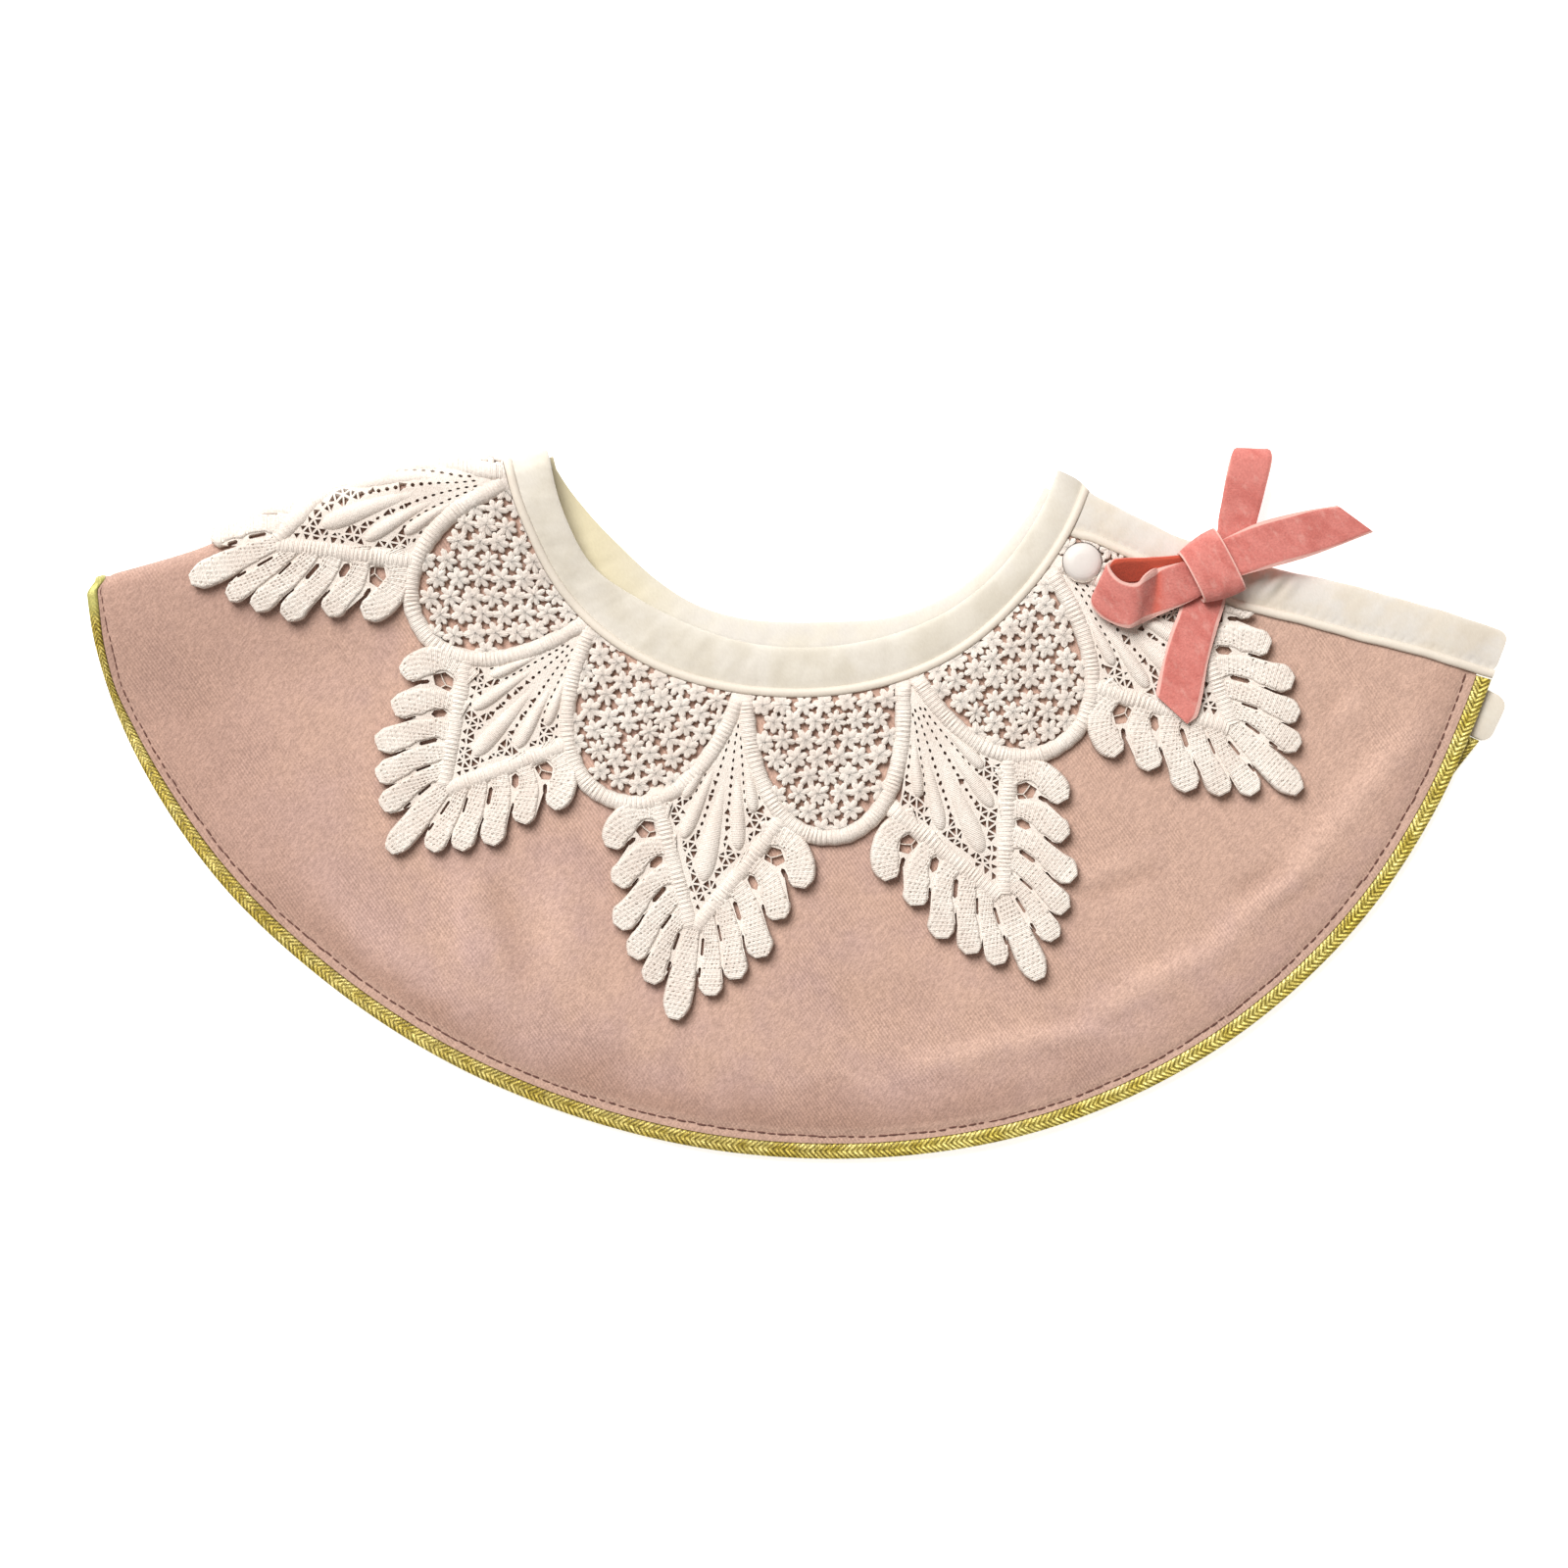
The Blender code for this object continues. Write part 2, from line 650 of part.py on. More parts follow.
class Leaf:
    """One repeat of the collar: its apex, its axis and its side, laid flat."""

    def __init__(self, apex_sweep, tip_sweep, tip_radius, left_width, right_width):
        apex_radius = read_table(RINGS, apex_sweep, SEAM)
        self.apex = Vector(from_polar(apex_radius, apex_sweep))
        reach = Vector(from_polar(tip_radius, tip_sweep)) - self.apex
        self.scale = reach.length / LEAF_LENGTH
        self.axis = reach.normalized()
        self.side = Vector((-self.axis.y, self.axis.x))
        self.widths = {1.0: right_width, -1.0: left_width}

    def place(self, side, out, hand=1.0):
        offset = self.side * (side * hand * self.widths[hand]) + self.axis * out
        return self.apex + offset * self.scale

    def finger_line(self, row, hand, share, offset=0.0):
        start = Vector(row[0:2])
        bend = Vector(row[2:4])
        end = Vector(row[4:6])
        point = bezier(start, bend, end, share)
        point += bezier_side(start, bend, end, share) * (offset * row[6])
        return self.place(point.x, point.y, hand)

    def finger_end(self, row, hand):
        """Outline of a finger's end from its outer shoulder to its inner one."""
        outer = [self.finger_line(row, hand, s, w) for s, w in FINGER_STEPS]
        inner = [self.finger_line(row, hand, s, -w) for s, w in reversed(FINGER_STEPS)]
        return outer + inner

    def notch(self, first, second, hand):
        """Root of the slit between two neighbouring fingers."""
        point = self.finger_line(first, hand, first[7], -0.5)
        point += self.finger_line(second, hand, second[7] - 0.06, 0.5)
        return point / 2

    def half_outline(self, hand):
        points = [self.place(side, out, hand) for side, out in LEAF_SHOULDER]
        first = FINGERS[0]
        points += [self.finger_line(first, hand, s, 0.5) for s in FIRST_FINGER_BACK]
        rows = FINGERS + (TIP_FINGER,)
        for number, row in enumerate(FINGERS):
            points += self.finger_end(row, hand)
            points.append(self.notch(row, rows[number + 1], hand))
        return points

    def outline(self):
        right = self.half_outline(1.0)
        left = self.half_outline(-1.0)
        tip = self.finger_end(TIP_FINGER, 1.0)
        return right + tip + left[:0:-1]

    def arms(self):
        lines = []
        for hand in (1.0, -1.0):
            line = [self.place(side, out, hand) for side, out in ARM]
            lines.append(line)
        return lines

    def teardrops(self):
        """Ridge line and outline of each teardrop of the leaf."""
        drops = []
        for row in TEARDROPS:
            for hand in (1.0, -1.0) if row[2] else (1.0,):
                start = self.place(row[0], row[1], hand)
                end = self.place(row[2], row[3], hand)
                run = (end - start).normalized()
                side = Vector((run.y, -run.x))
                width = row[4] * self.scale
                flank = [
                    (mix(start, end, share), side * width * swell)
                    for share, swell in TEAR_SWELL
                ]
                outline = [start]
                outline += [point + offset for point, offset in flank]
                outline.append(end)
                outline += [point - offset for point, offset in reversed(flank)]
                drops.append((start, end, width, outline))
        return drops

    def finger_ridges(self):
        ridges = [
            [self.finger_line(row, hand, share) for share in FINGER_RIDGE]
            for row in FINGERS
            for hand in (1.0, -1.0)
        ]
        ridges.append([self.finger_line(TIP_FINGER, 1.0, share) for share in FINGER_RIDGE])
        return ridges

    def root_holes(self):
        return [
            [self.place(side, out, hand) for side, out in ROOT_HOLE]
            for hand in (1.0, -1.0)
        ]


class Scallop:
    """A rounded bay of net between two leaves, edged by a satin cord."""

    def __init__(self, sweep, foot_sweep, half_width, depth):
        radius = read_table(RINGS, sweep, SEAM)
        self.top = Vector(from_polar(radius, sweep))
        foot = Vector(from_polar(radius + depth, foot_sweep))
        self.out = (foot - self.top).normalized()
        self.side = Vector((-self.out.y, self.out.x))
        self.half_width = half_width
        self.depth = depth

    def curve(self, offset, count):
        """Points of the cord, or of a line beside it, from side to side."""
        points = []
        width = self.half_width + offset
        depth = self.depth + offset
        for step in range(count + 1):
            angle = pi * step / count
            across = width * abs(cos(angle)) ** (2 / SCALLOP_POWER)
            across = -across if angle > pi / 2 else across
            out = depth * sin(angle) ** (2 / SCALLOP_POWER)
            points.append(self.top + self.side * across + self.out * out)
        return points

    def outline(self, offset, count):
        """The closed bay: its cord line, carried back under the neck seam."""
        points = self.curve(offset, count)
        back = self.out * -SCALLOP_TUCK
        return points + [points[-1] + back, points[0] + back]


def inside(point, polygon):
    found = False
    for start, end in zip(polygon, polygon[1:] + polygon[:1]):
        if (start.y > point.y) != (end.y > point.y):
            share = (point.y - start.y) / (end.y - start.y)
            if point.x < mix(start.x, end.x, share):
                found = not found
    return found


def distance_to_line(point, line):
    """Distance to a polyline, and the share of its length at the nearest place."""
    best = (1e9, 0.0)
    for number, (start, end) in enumerate(zip(line, line[1:])):
        run = end - start
        share = min(max((point - start).dot(run) / run.length_squared, 0.0), 1.0)
        gap = (point - start - run * share).length
        if gap < best[0]:
            best = (gap, (number + share) / (len(line) - 1))
    return best


class Collar:
    """The lace collar in the flat: its shapes, its edges and its relief."""

    def __init__(self):
        self.leaves = [Leaf(*row) for row in LEAVES]
        self.scallops = [Scallop(*row) for row in SCALLOPS]
        self.solid = [leaf.outline() for leaf in self.leaves]
        self.solid += [bay.outline(CORD_HALF_WIDTH, 16) for bay in self.scallops]
        self.holes = [hole for leaf in self.leaves for hole in leaf.root_holes()]
        self.holes.append(self.snap_hole())
        self.cords = [bay.curve(0.0, 28) for bay in self.scallops]
        self.arms = [arm for leaf in self.leaves for arm in leaf.arms()]
        self.drops = [drop for leaf in self.leaves for drop in leaf.teardrops()]
        self.fingers = [line for leaf in self.leaves for line in leaf.finger_ridges()]

    def snap_hole(self):
        offset = SNAP_CENTRE
        along = offset.dot(ALONG)
        across = offset.dot(ACROSS)
        radius = SNAP_RADIUS + GAP
        return [
            Vector((along, across)) + unit(2 * pi * step / SNAP_HOLE_SIDES) * radius
            for step in range(SNAP_HOLE_SIDES)
        ]

    def covers(self, point):
        radius = point.length
        sweep = degrees(atan2(point.y, point.x))
        reach = point.x if sweep < 0.0 else radius
        if point.y < -LACE_WRAP or reach < read_table(RINGS, sweep, SEAM) + GAP:
            return False
        if sweep > 90.0 and sweep > sweep_of(placket_foot(GAP), radius):
            return False
        if any(inside(point, hole) for hole in self.holes):
            return False
        return any(inside(point, shape) for shape in self.solid)

    def relief(self, point):
        """Height of the lace's face over its thin net."""
        rise = 0.0
        for line in self.fingers:
            gap, _ = distance_to_line(point, line)
            rise = max(rise, FINGER_RISE * (1.0 - smooth(gap / FINGER_HALF_WIDTH)))
        for line in self.cords + self.arms:
            gap, _ = distance_to_line(point, line)
            if gap < CORD_HALF_WIDTH:
                bulge = sqrt(1.0 - (gap / CORD_HALF_WIDTH) ** 2)
                rise = max(rise, CORD_RISE * bulge)
        for start, end, width, _ in self.drops:
            gap, share = distance_to_line(point, [start, end])
            if gap < width * share:
                rise = max(rise, TEAR_RISE * sqrt(share) * (1.0 - smooth(gap / width)))
        return rise

    def edges(self):
        """Closed loops and open lines that the triangles must follow."""
        loops = self.solid + self.holes + [drop[3] for drop in self.drops]
        lines = [bay.curve(0.0, 14) for bay in self.scallops]
        lines += [bay.curve(-CORD_HALF_WIDTH, 12) for bay in self.scallops]
        for leaf in self.leaves:
            for hand in (1.0, -1.0):
                for offset in (-CORD_HALF_WIDTH, 0.0, CORD_HALF_WIDTH):
                    line = [leaf.place(side + offset, out, hand) for side, out in ARM[:2]]
                    line.append(leaf.place(0.0, ARM[2][1] + offset * 1.6, hand))
                    lines.append(line)
        for start, end, _, _ in self.drops:
            lines.append([mix(start, end, share) for share in TEAR_RIDGE])
        lines += self.fingers
        seam = ring(SEAM, GAP)
        sweeps = steps_between(0.0, OPEN_SWEEP, 44)
        line = [Vector((seam(0.0), -LACE_WRAP - 1.0))]
        line += [Vector(from_polar(seam(sweep), sweep)) for sweep in sweeps]
        lines.append(line)
        radii = steps_between(LACE_RADII[0], FOOT_END_RADIUS, 9)
        foot = placket_foot(GAP)
        lines.append([Vector(from_polar(r, sweep_of(foot, r))) for r in radii])
        for across in (-LACE_WRAP,) + FOLD_LINES:
            lines.append([Vector((a, across)) for a in steps_between(*LACE_RADII, 10)])
        return loops, lines

    def triangles(self):
        loops, lines = self.edges()
        points = []
        pairs = []
        for loop in loops:
            first = len(points)
            points += loop
            count = len(loop)
            pairs += [(first + i, first + (i + 1) % count) for i in range(count)]
        for line in lines:
            first = len(points)
            points += line
            pairs += [(first + i, first + i + 1) for i in range(len(line) - 1)]
        flat, _, faces, _, _, _ = delaunay_2d_cdt(points, pairs, [], 0, 0.08)
        kept = []
        for face in faces:
            centre = (flat[face[0]] + flat[face[1]] + flat[face[2]]) / 3
            if self.covers(centre):
                kept.append(tuple(face))
        return flat, kept


def solid_from_flat(flat, faces, top, bottom):
    """Close a flat set of triangles into a wall between two surfaces."""
    used = sorted({corner for face in faces for corner in face})
    number = {corner: place for place, corner in enumerate(used)}
    below = len(used)
    points = [top(flat[corner]) for corner in used]
    points += [bottom(flat[corner]) for corner in used]
    upper = [tuple(number[corner] for corner in face) for face in faces]
    solid = list(upper)
    solid += [tuple(corner + below for corner in reversed(face)) for face in upper]
    sides = {}
    for face in upper:
        for start, end in zip(face, face[1:] + face[:1]):
            sides[(start, end)] = True
    for start, end in sides:
        if (end, start) not in sides:
            solid.append((end, start, start + below, end + below))
    return points, solid


def make_lace(material):
    collar = Collar()
    flat, faces = collar.triangles()

    def top(point):
        height = GAP + NET_WALL + collar.relief(point)
        return on_cloth(point.x, point.y, height)

    def bottom(point):
        return on_cloth(point.x, point.y, GAP)

    points, solid = solid_from_flat(flat, faces, top, bottom)
    return add_node("lace_collar", points, solid, material)


def make_snap(material):
    centre = NECK_CENTRE + SNAP_CENTRE
    floor = FRONT_TOP + GAP
    points = []
    for radius, height in SNAP_PROFILE:
        for step in range(SNAP_SIDES):
            spot = centre + unit(2 * pi * step / SNAP_SIDES) * radius
            points.append(Vector((spot.x, spot.y, floor + height)))
    faces = [tuple(reversed(range(SNAP_SIDES)))]
    for tier in range(len(SNAP_PROFILE) - 1):
        first = tier * SNAP_SIDES
        for step in range(SNAP_SIDES):
            after = (step + 1) % SNAP_SIDES
            faces.append((
                first + step,
                first + after,
                first + after + SNAP_SIDES,
                first + step + SNAP_SIDES,
            ))
    last = (len(SNAP_PROFILE) - 1) * SNAP_SIDES
    faces.append(tuple(range(last, last + SNAP_SIDES)))
    return add_node("snap_cap", points, faces, material)


def smooth_rows(rows, steps):
    """Stations on a smooth curve through the rows of a ribbon's table."""
    lengths = [0.0]
    for before, after in zip(rows, rows[1:]):
        middle = [(after[i] - before[i] + after[i + 3] - before[i + 3]) / 2 for i in range(3)]
        lengths.append(lengths[-1] + Vector(middle).length)
    table = [(length,) + tuple(row) for length, row in zip(lengths, rows)]
    return [
        [read_table(table, place, column) for column in range(1, 7)]
        for place in steps_between(0.0, lengths[-1], steps)
    ]


def make_ribbon(name, rows, steps, material):
    """A flat ribbon between two edges, thickened to both of its faces."""
    start = NECK_CENTRE.to_3d()
    edges = [
        (start + Vector(row[0:3]), start + Vector(row[3:6]))
        for row in smooth_rows(rows, steps)
    ]
    middle = [(one + two) / 2 for one, two in edges]
    upper = []
    lower = []
    for place, (one, two) in enumerate(edges):
        before = middle[max(place - 1, 0)]
        after = middle[min(place + 1, len(edges) - 1)]
        normal = (two - one).cross(after - before).normalized()
        line = [mix(one, two, share) for share in (0.0, 0.5, 1.0)]
        upper.append([point + normal * RIBBON_WALL / 2 for point in line])
        lower.append([point - normal * RIBBON_WALL / 2 for point in line])
    return add_node(name, *closed_sheet(upper, lower), material)


def make_knot(material):
    """The ribbon wrapped round the bow's middle, a rounded pillow."""
    wrap = unit(KNOT_WRAP_BEARING)
    band = unit(KNOT_WRAP_BEARING + pi / 2)
    middle_z = (KNOT_TOP + KNOT_BOTTOM) / 2
    half_height = (KNOT_TOP - KNOT_BOTTOM) / 2
    count = 18
    points = []
    for place, size in KNOT_STATIONS:
        for step in range(count):
            angle = 2 * pi * step / count
            reach = KNOT_LENGTH * size * cos(angle)
            height = half_height * size * sin(angle)
            spot = NECK_CENTRE + KNOT_CENTRE + wrap * reach + band * (place * KNOT_HALF_WIDTH)
            points.append(Vector((spot.x, spot.y, middle_z + height)))
    faces = [tuple(range(count))]
    for station in range(len(KNOT_STATIONS) - 1):
        first = station * count
        for step in range(count):
            after = (step + 1) % count
            faces.append((
                first + after,
                first + step,
                first + step + count,
                first + after + count,
            ))
    last = (len(KNOT_STATIONS) - 1) * count
    faces.append(tuple(reversed(range(last, last + count))))
    return add_node("bow_knot", points, faces, material)


def stand_on_origin(nodes):
    """Move the whole bib so that its box stands centred on the origin."""
    corners = [vertex.co for node in nodes for vertex in node.data.vertices]
    low = Vector([min(corner[axis] for corner in corners) for axis in range(3)])
    high = Vector([max(corner[axis] for corner in corners) for axis in range(3)])
    shift = Vector(((low.x + high.x) / 2, (low.y + high.y) / 2, low.z))
    for node in nodes:
        for vertex in node.data.vertices:
            vertex.co -= shift


def main():
    for old in list(bpy.data.objects):
        bpy.data.objects.remove(old)
    finish = {name: add_material(name) for name in MATERIALS}
    cream = finish["sateen"]
    velvet = finish["velvet"]
    piping_heights = (crown(GAP + PIPING_EDGE, GAP + PIPING_RISE), level(GAP))
    band_heights = (crown(BAND_EDGE, BAND_PUFF), level(-CLOTH_WALL))
    nodes = [
        make_panel_front(finish["twill"]),
        make_panel_back(finish["twill"]),
        make_hem_braid_front(finish["gold_braid"]),
        make_hem_braid_back(finish["gold_braid"]),
        make_lace(finish["lace"]),
        make_neck_band_front(cream),
        make_neck_piping(cream),
        make_neck_band_back(cream),
        make_placket(
            "placket_band", opening_edge(0.0), placket_foot(-PIPING_WIDTH - GAP),
            [0.0, 0.1, 0.35, 0.65, 0.92, 1.0], band_heights, cream,
        ),
        make_placket(
            "placket_piping", placket_foot(-PIPING_WIDTH), placket_foot(0.0),
            [0.0, 0.2, 0.5, 0.8, 1.0], piping_heights, cream,
        ),
        make_placket_back(cream),
        make_snap(finish["snap"]),
        make_knot(velvet),
        make_ribbon("bow_loop_left", LEFT_LOOP, 30, velvet),
        make_ribbon("bow_loop_upright", UPRIGHT_LOOP, 24, velvet),
        make_ribbon("bow_tail_right", RIGHT_TAIL, 10, velvet),
        make_ribbon("bow_tail_down", DOWN_TAIL, 12, velvet),
    ]
    stand_on_origin(nodes)


main()
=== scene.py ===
"""Round baby bib with a lace collar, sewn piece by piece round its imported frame.

Sizes are in millimetres until a piece's mesh is written in metres. A flat place
is (along, across, height): along runs out from the neck centre on the fold line,
across runs from the fold into the front, and height is over the cloth. A sweep is
the angle in degrees from the fold line, round the front, to the opening edge.
"""
from math import cos, degrees, pi, radians, sin

import bpy
import numpy as np
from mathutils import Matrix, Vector
from mathutils.geometry import delaunay_2d_cdt


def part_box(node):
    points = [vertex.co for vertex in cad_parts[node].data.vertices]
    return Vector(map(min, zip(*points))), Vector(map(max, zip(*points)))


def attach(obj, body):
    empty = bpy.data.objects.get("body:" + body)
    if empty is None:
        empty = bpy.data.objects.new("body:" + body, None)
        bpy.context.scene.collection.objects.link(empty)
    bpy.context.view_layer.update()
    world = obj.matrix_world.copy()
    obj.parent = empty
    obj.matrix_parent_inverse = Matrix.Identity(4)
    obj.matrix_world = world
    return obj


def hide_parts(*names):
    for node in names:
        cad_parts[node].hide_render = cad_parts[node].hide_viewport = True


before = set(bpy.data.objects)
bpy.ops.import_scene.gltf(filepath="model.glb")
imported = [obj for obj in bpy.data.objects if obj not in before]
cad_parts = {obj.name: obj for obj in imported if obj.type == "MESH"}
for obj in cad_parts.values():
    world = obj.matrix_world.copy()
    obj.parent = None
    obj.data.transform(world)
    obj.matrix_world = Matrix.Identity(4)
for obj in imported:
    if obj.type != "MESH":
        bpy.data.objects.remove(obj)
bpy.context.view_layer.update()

bl_info = {
    "name": "Lace Bib",
    "version": (1, 0, 0),
    "blender": (4, 5, 0),
    "location": "3D View > Sidebar > Lace Bib",
    "description": "Sews a round baby bib with a lace collar and a velvet bow",
    "category": "Object",
}

MM = 0.001
GAP = 0.3                  # clearance at every seam and between layers
SLOT = 0.1                 # clearance where two pieces are pressed together

# Driving sizes of the cloth
CLOTH_WALL = 1.5
CLOTH_DEPTH = 110.0        # from the neck seam to the hem, laid flat
HIDDEN_DEPTH = 3.0
HIDDEN_EASE = 0.3
NOSE_RADIUS = 4.0          # outer radius of the soft fold on the closed shoulder
NOSE_LIFT = 1.5
FOLD_RUN = 40.0            # distance over which the front settles from the fold
FRONT_TOP = HIDDEN_DEPTH + GAP + CLOTH_WALL
NOSE_CENTRE_Z = NOSE_LIFT + NOSE_RADIUS
FOLD_RISE = NOSE_CENTRE_Z + NOSE_RADIUS - FRONT_TOP

# Plan of the bib round its neck centre
FOLD_BEARING = radians(194.5)
OPEN_SWEEP = 146.7         # the opening edge, seen from the fold
PLACKET_SWEEP = 141.0
FAN_BEND_FROM = 118.0      # past this sweep the stations turn parallel to the opening

RINGS = (
    # sweep, back_neck, front_neck, seam, hem
    (0.0, 64.1, 64.9, 76.1, 183.4),
    (4.0, 62.9, 65.3, 76.2, 185.2),
    (12.0, 60.6, 66.0, 76.4, 187.5),
    (24.0, 58.4, 66.8, 77.6, 188.3),
    (36.0, 58.1, 64.7, 77.9, 187.4),
    (48.0, 58.1, 63.5, 77.2, 187.1),
    (60.0, 57.2, 63.0, 75.9, 187.4),
    (72.0, 56.2, 62.6, 75.0, 188.5),
    (84.0, 56.6, 62.6, 74.8, 190.0),
    (96.0, 58.8, 63.2, 74.9, 191.4),
    (108.0, 60.6, 64.1, 74.8, 191.4),
    (120.0, 61.6, 64.7, 74.2, 190.0),
    (132.0, 62.2, 64.9, 74.1, 187.0),
    (140.0, 63.2, 65.1, 74.3, 184.6),
    (150.0, 64.3, 65.4, 74.4, 182.8),
)
BACK_NECK, FRONT_NECK, SEAM, HEM = 1, 2, 3, 4

FOLD_BOW = (
    # along, how far the fold line bows outward
    (0.0, 0.0),
    (60.0, -2.0),
    (76.0, -1.5),
    (98.0, 1.4),
    (120.0, 0.4),
    (140.0, -1.3),
    (156.0, -3.6),
    (186.0, -4.3),
)
FOLD_BOW_RUN = 60.0
CORNER_PULL = 2.6          # the hem's corner on the fold is drawn in towards the neck
CORNER_FROM = 150.0
CORNER_RUN = 34.0

OPENING = (
    # radius, dip of the opening edge into the front, width of placket and piping
    (60.0, -2.9, 12.2),
    (66.0, -2.6, 12.2),
    (71.0, -1.7, 12.2),
    (75.0, 0.2, 11.8),
    (80.0, 1.2, 10.7),
    (91.0, 2.5, 10.1),
    (101.0, 3.6, 10.7),
    (116.0, 3.6, 12.1),
    (128.0, 2.8, 12.1),
    (147.0, 0.7, 12.9),
    (160.0, 0.1, 12.5),
    (186.0, -0.8, 12.2),
)
OPEN_DIP, OPEN_WIDTH = 1, 2

SOFT_WAVES = (
    # sweep, half_width, height: low lifts of the cloth towards the hem
    (27.0, 8.0, 0.5),
    (47.0, 10.0, 0.9),
    (68.0, 7.0, 0.6),
    (89.0, 11.0, 1.1),
    (109.0, 7.0, 0.6),
    (125.0, 8.0, 0.8),
)
WAVE_FROM_RADIUS = 128.0
WAVE_RUN = 52.0
HEM_DROOP = 1.1
HEM_DROOP_RUN = 13.0

CREASES = (
    # radius, sweep, radius, sweep, half_width, height: soft ridges and troughs
    (139.3, 41.8, 166.0, 51.3, 2.6, -0.9),
    (144.0, 38.8, 168.0, 46.9, 4.2, 0.8),
    (130.0, 46.6, 160.0, 54.0, 4.5, 0.7),
    (141.2, 103.0, 148.3, 114.0, 2.1, -0.7),
    (137.0, 101.0, 143.0, 112.0, 3.2, 0.5),
    (162.2, 115.5, 168.6, 122.0, 2.6, -0.8),
    (166.7, 94.6, 168.3, 101.0, 1.6, -0.6),
    (171.0, 92.5, 173.0, 102.0, 2.2, 0.5),
    (169.4, 82.0, 171.5, 102.0, 2.6, 0.9),
    (170.4, 97.5, 172.5, 116.0, 3.0, 0.85),
    (171.0, 109.5, 170.6, 127.0, 3.0, 0.9),
    (169.0, 121.0, 174.5, 139.5, 3.4, 0.9),
    (150.0, 76.0, 154.0, 90.0, 6.0, -0.4),
    (169.5, 9.0, 171.0, 21.0, 4.6, -0.3),
    (150.0, 4.0, 154.0, 20.0, 6.0, 0.15),
    (173.0, 1.0, 176.5, 8.0, 4.0, 0.4),
    (172.0, 26.0, 176.0, 44.0, 4.4, 0.6),
    (174.0, 52.0, 172.0, 74.0, 4.2, -0.3),
    (152.0, 128.0, 128.0, 134.0, 4.0, 0.7),
    (169.2, 97.5, 175.5, 104.0, 1.2, -0.45),
    (171.2, 97.9, 177.9, 104.3, 1.6, 0.35),
    (164.0, 103.0, 170.5, 110.2, 2.0, 0.45),
    (170.0, 117.4, 173.1, 124.0, 1.8, 0.5),
    (172.7, 117.3, 175.5, 123.8, 1.6, -0.4),
    (150.4, 133.1, 151.7, 137.1, 2.4, -0.45),
    (154.8, 133.4, 156.5, 137.7, 2.6, 0.45),
)
CREASE_FADE = 0.32         # share of its length over which a crease rises and falls

# Trims
PIPING_WIDTH = 2.2
PIPING_RISE = 0.95
TUCK_IN = 0.6              # how far a band runs in under its piping
PIPING_EDGE = 0.15
BAND_PUFF = 0.9
BAND_LEAN = 0.66           # under 1 puts a band's rise nearer the neck
BAND_EDGE = 0.05
BAND_WIDTH = 11.0          # the neck's binding
PLACKET_WIDTH = 10.0
PIT_SHARE = 0.87           # the needle's pits run at this share of a band's width
PIT_SIZE = (0.34, 0.4)     # across and along the band
PANEL_EASE = 0.8
PLACKET_OVERHANG = 0.6
RUMPLE_RADIUS = 124.0      # where the opening's binding is drawn up by the knot
RUMPLE_HALF_LENGTH = 5.5
RUMPLE_RISE = 0.9
BRAID_WIDTH = 3.1
BRAID_RISE = 0.35
BRAID_PITCH = 1.3
BRAID_STITCH = 0.34        # how deep the plaits of the braid are
BRAID_SLANT = 1.5          # how far a plait leans, in pitches
BRAID_SPLIT = 0.06         # share of the width of the groove between its two rows
BRAID_CALM = 0.3           # what is left of the plaits where it rolls under the fold
BRAID_CALM_RUN = 11.0
BACK_TRIM_DEPTH = 2.1
BACK_TRIM_EDGE = 1.4
BACK_BAND_WIDTH = 12.0
BACK_BRAID_DEPTH = 1.8
BACK_BRAID_EDGE = 1.5
HEM_EDGE = (
    # sweep, share of the braid that shows, inset of the topstitch from the hem's edge
    (0.0, 0.84, 3.6),
    (2.0, 0.8, 3.7),
    (4.3, 0.68, 3.9),
    (7.8, 0.58, 3.5),
    (11.4, 0.82, 4.2),
    (17.0, 1.0, 5.0),
    (28.0, 1.14, 5.7),
    (70.0, 1.2, 5.7),
    (88.0, 1.2, 5.3),
    (104.0, 1.2, 5.4),
    (122.0, 1.22, 5.9),
    (150.0, 1.24, 6.5),
)
SHOWN, INSET = 1, 2
STITCH_PULL = 0.3          # how deep the topstitch sinks into the cloth
STITCH_PULL_WIDTH = 0.9
STITCH_PITCH = 2.5
STITCH_LENGTH = 2.15
STITCH_THREAD = 0.25
STITCHED_FROM = 0.94       # past this share of the cloth its rows are finer

BACK_HEM = (
    # sweep, how far the back hem stands out past the front hem
    (0.0, -1.2),
    (118.0, -1.2),
    (131.0, -1.0),
    (135.0, 0.2),
    (138.0, 2.6),
    (142.0, 6.4),
    (150.0, 7.6),
)
BACK_OPENING = (
    # radius, how far the back opening edge lies inside the front opening line
    (56.0, 1.2),
    (72.0, 3.2),
    (188.0, 14.8),
    (194.0, 15.4),
)

# Lace collar: how high the middle and the edge of each part stand
NET_WALL = 1.35
CORD_RISE, CORD_EDGE = 2.35, 0.35
TEAR_RISE, TEAR_EDGE = 2.2, 0.3
FINGER_RISE, FINGER_EDGE = 1.9, 0.45
DAISY_RISE, DAISY_EDGE = 1.55, 0.2
CORD_HALF_WIDTH = 2.15
CORD_PITCH = 1.1           # one satin stitch of a cord
ARM_HALF_WIDTH = CORD_HALF_WIDTH * 1.08
ARM_RISE = CORD_RISE - 0.1
ARM_ENDS = (3.0, 1.5)      # over these runs an arm comes up and goes down
FINGER_STEP = 0.35
FINGER_COLUMNS = 18
FINGER_PITS = (0.45, 1.15)  # how deep the dimples between its stitches are
DAISY_PITCH = 5.15
DAISY_ROWS = 10
DAISY_HALF_COLUMNS = 6
DAISY_TIPS = (2.92, 0.18)  # radius of the petals' tips, and how much it varies
DAISY_NOTCHES = (1.7, 0.14)
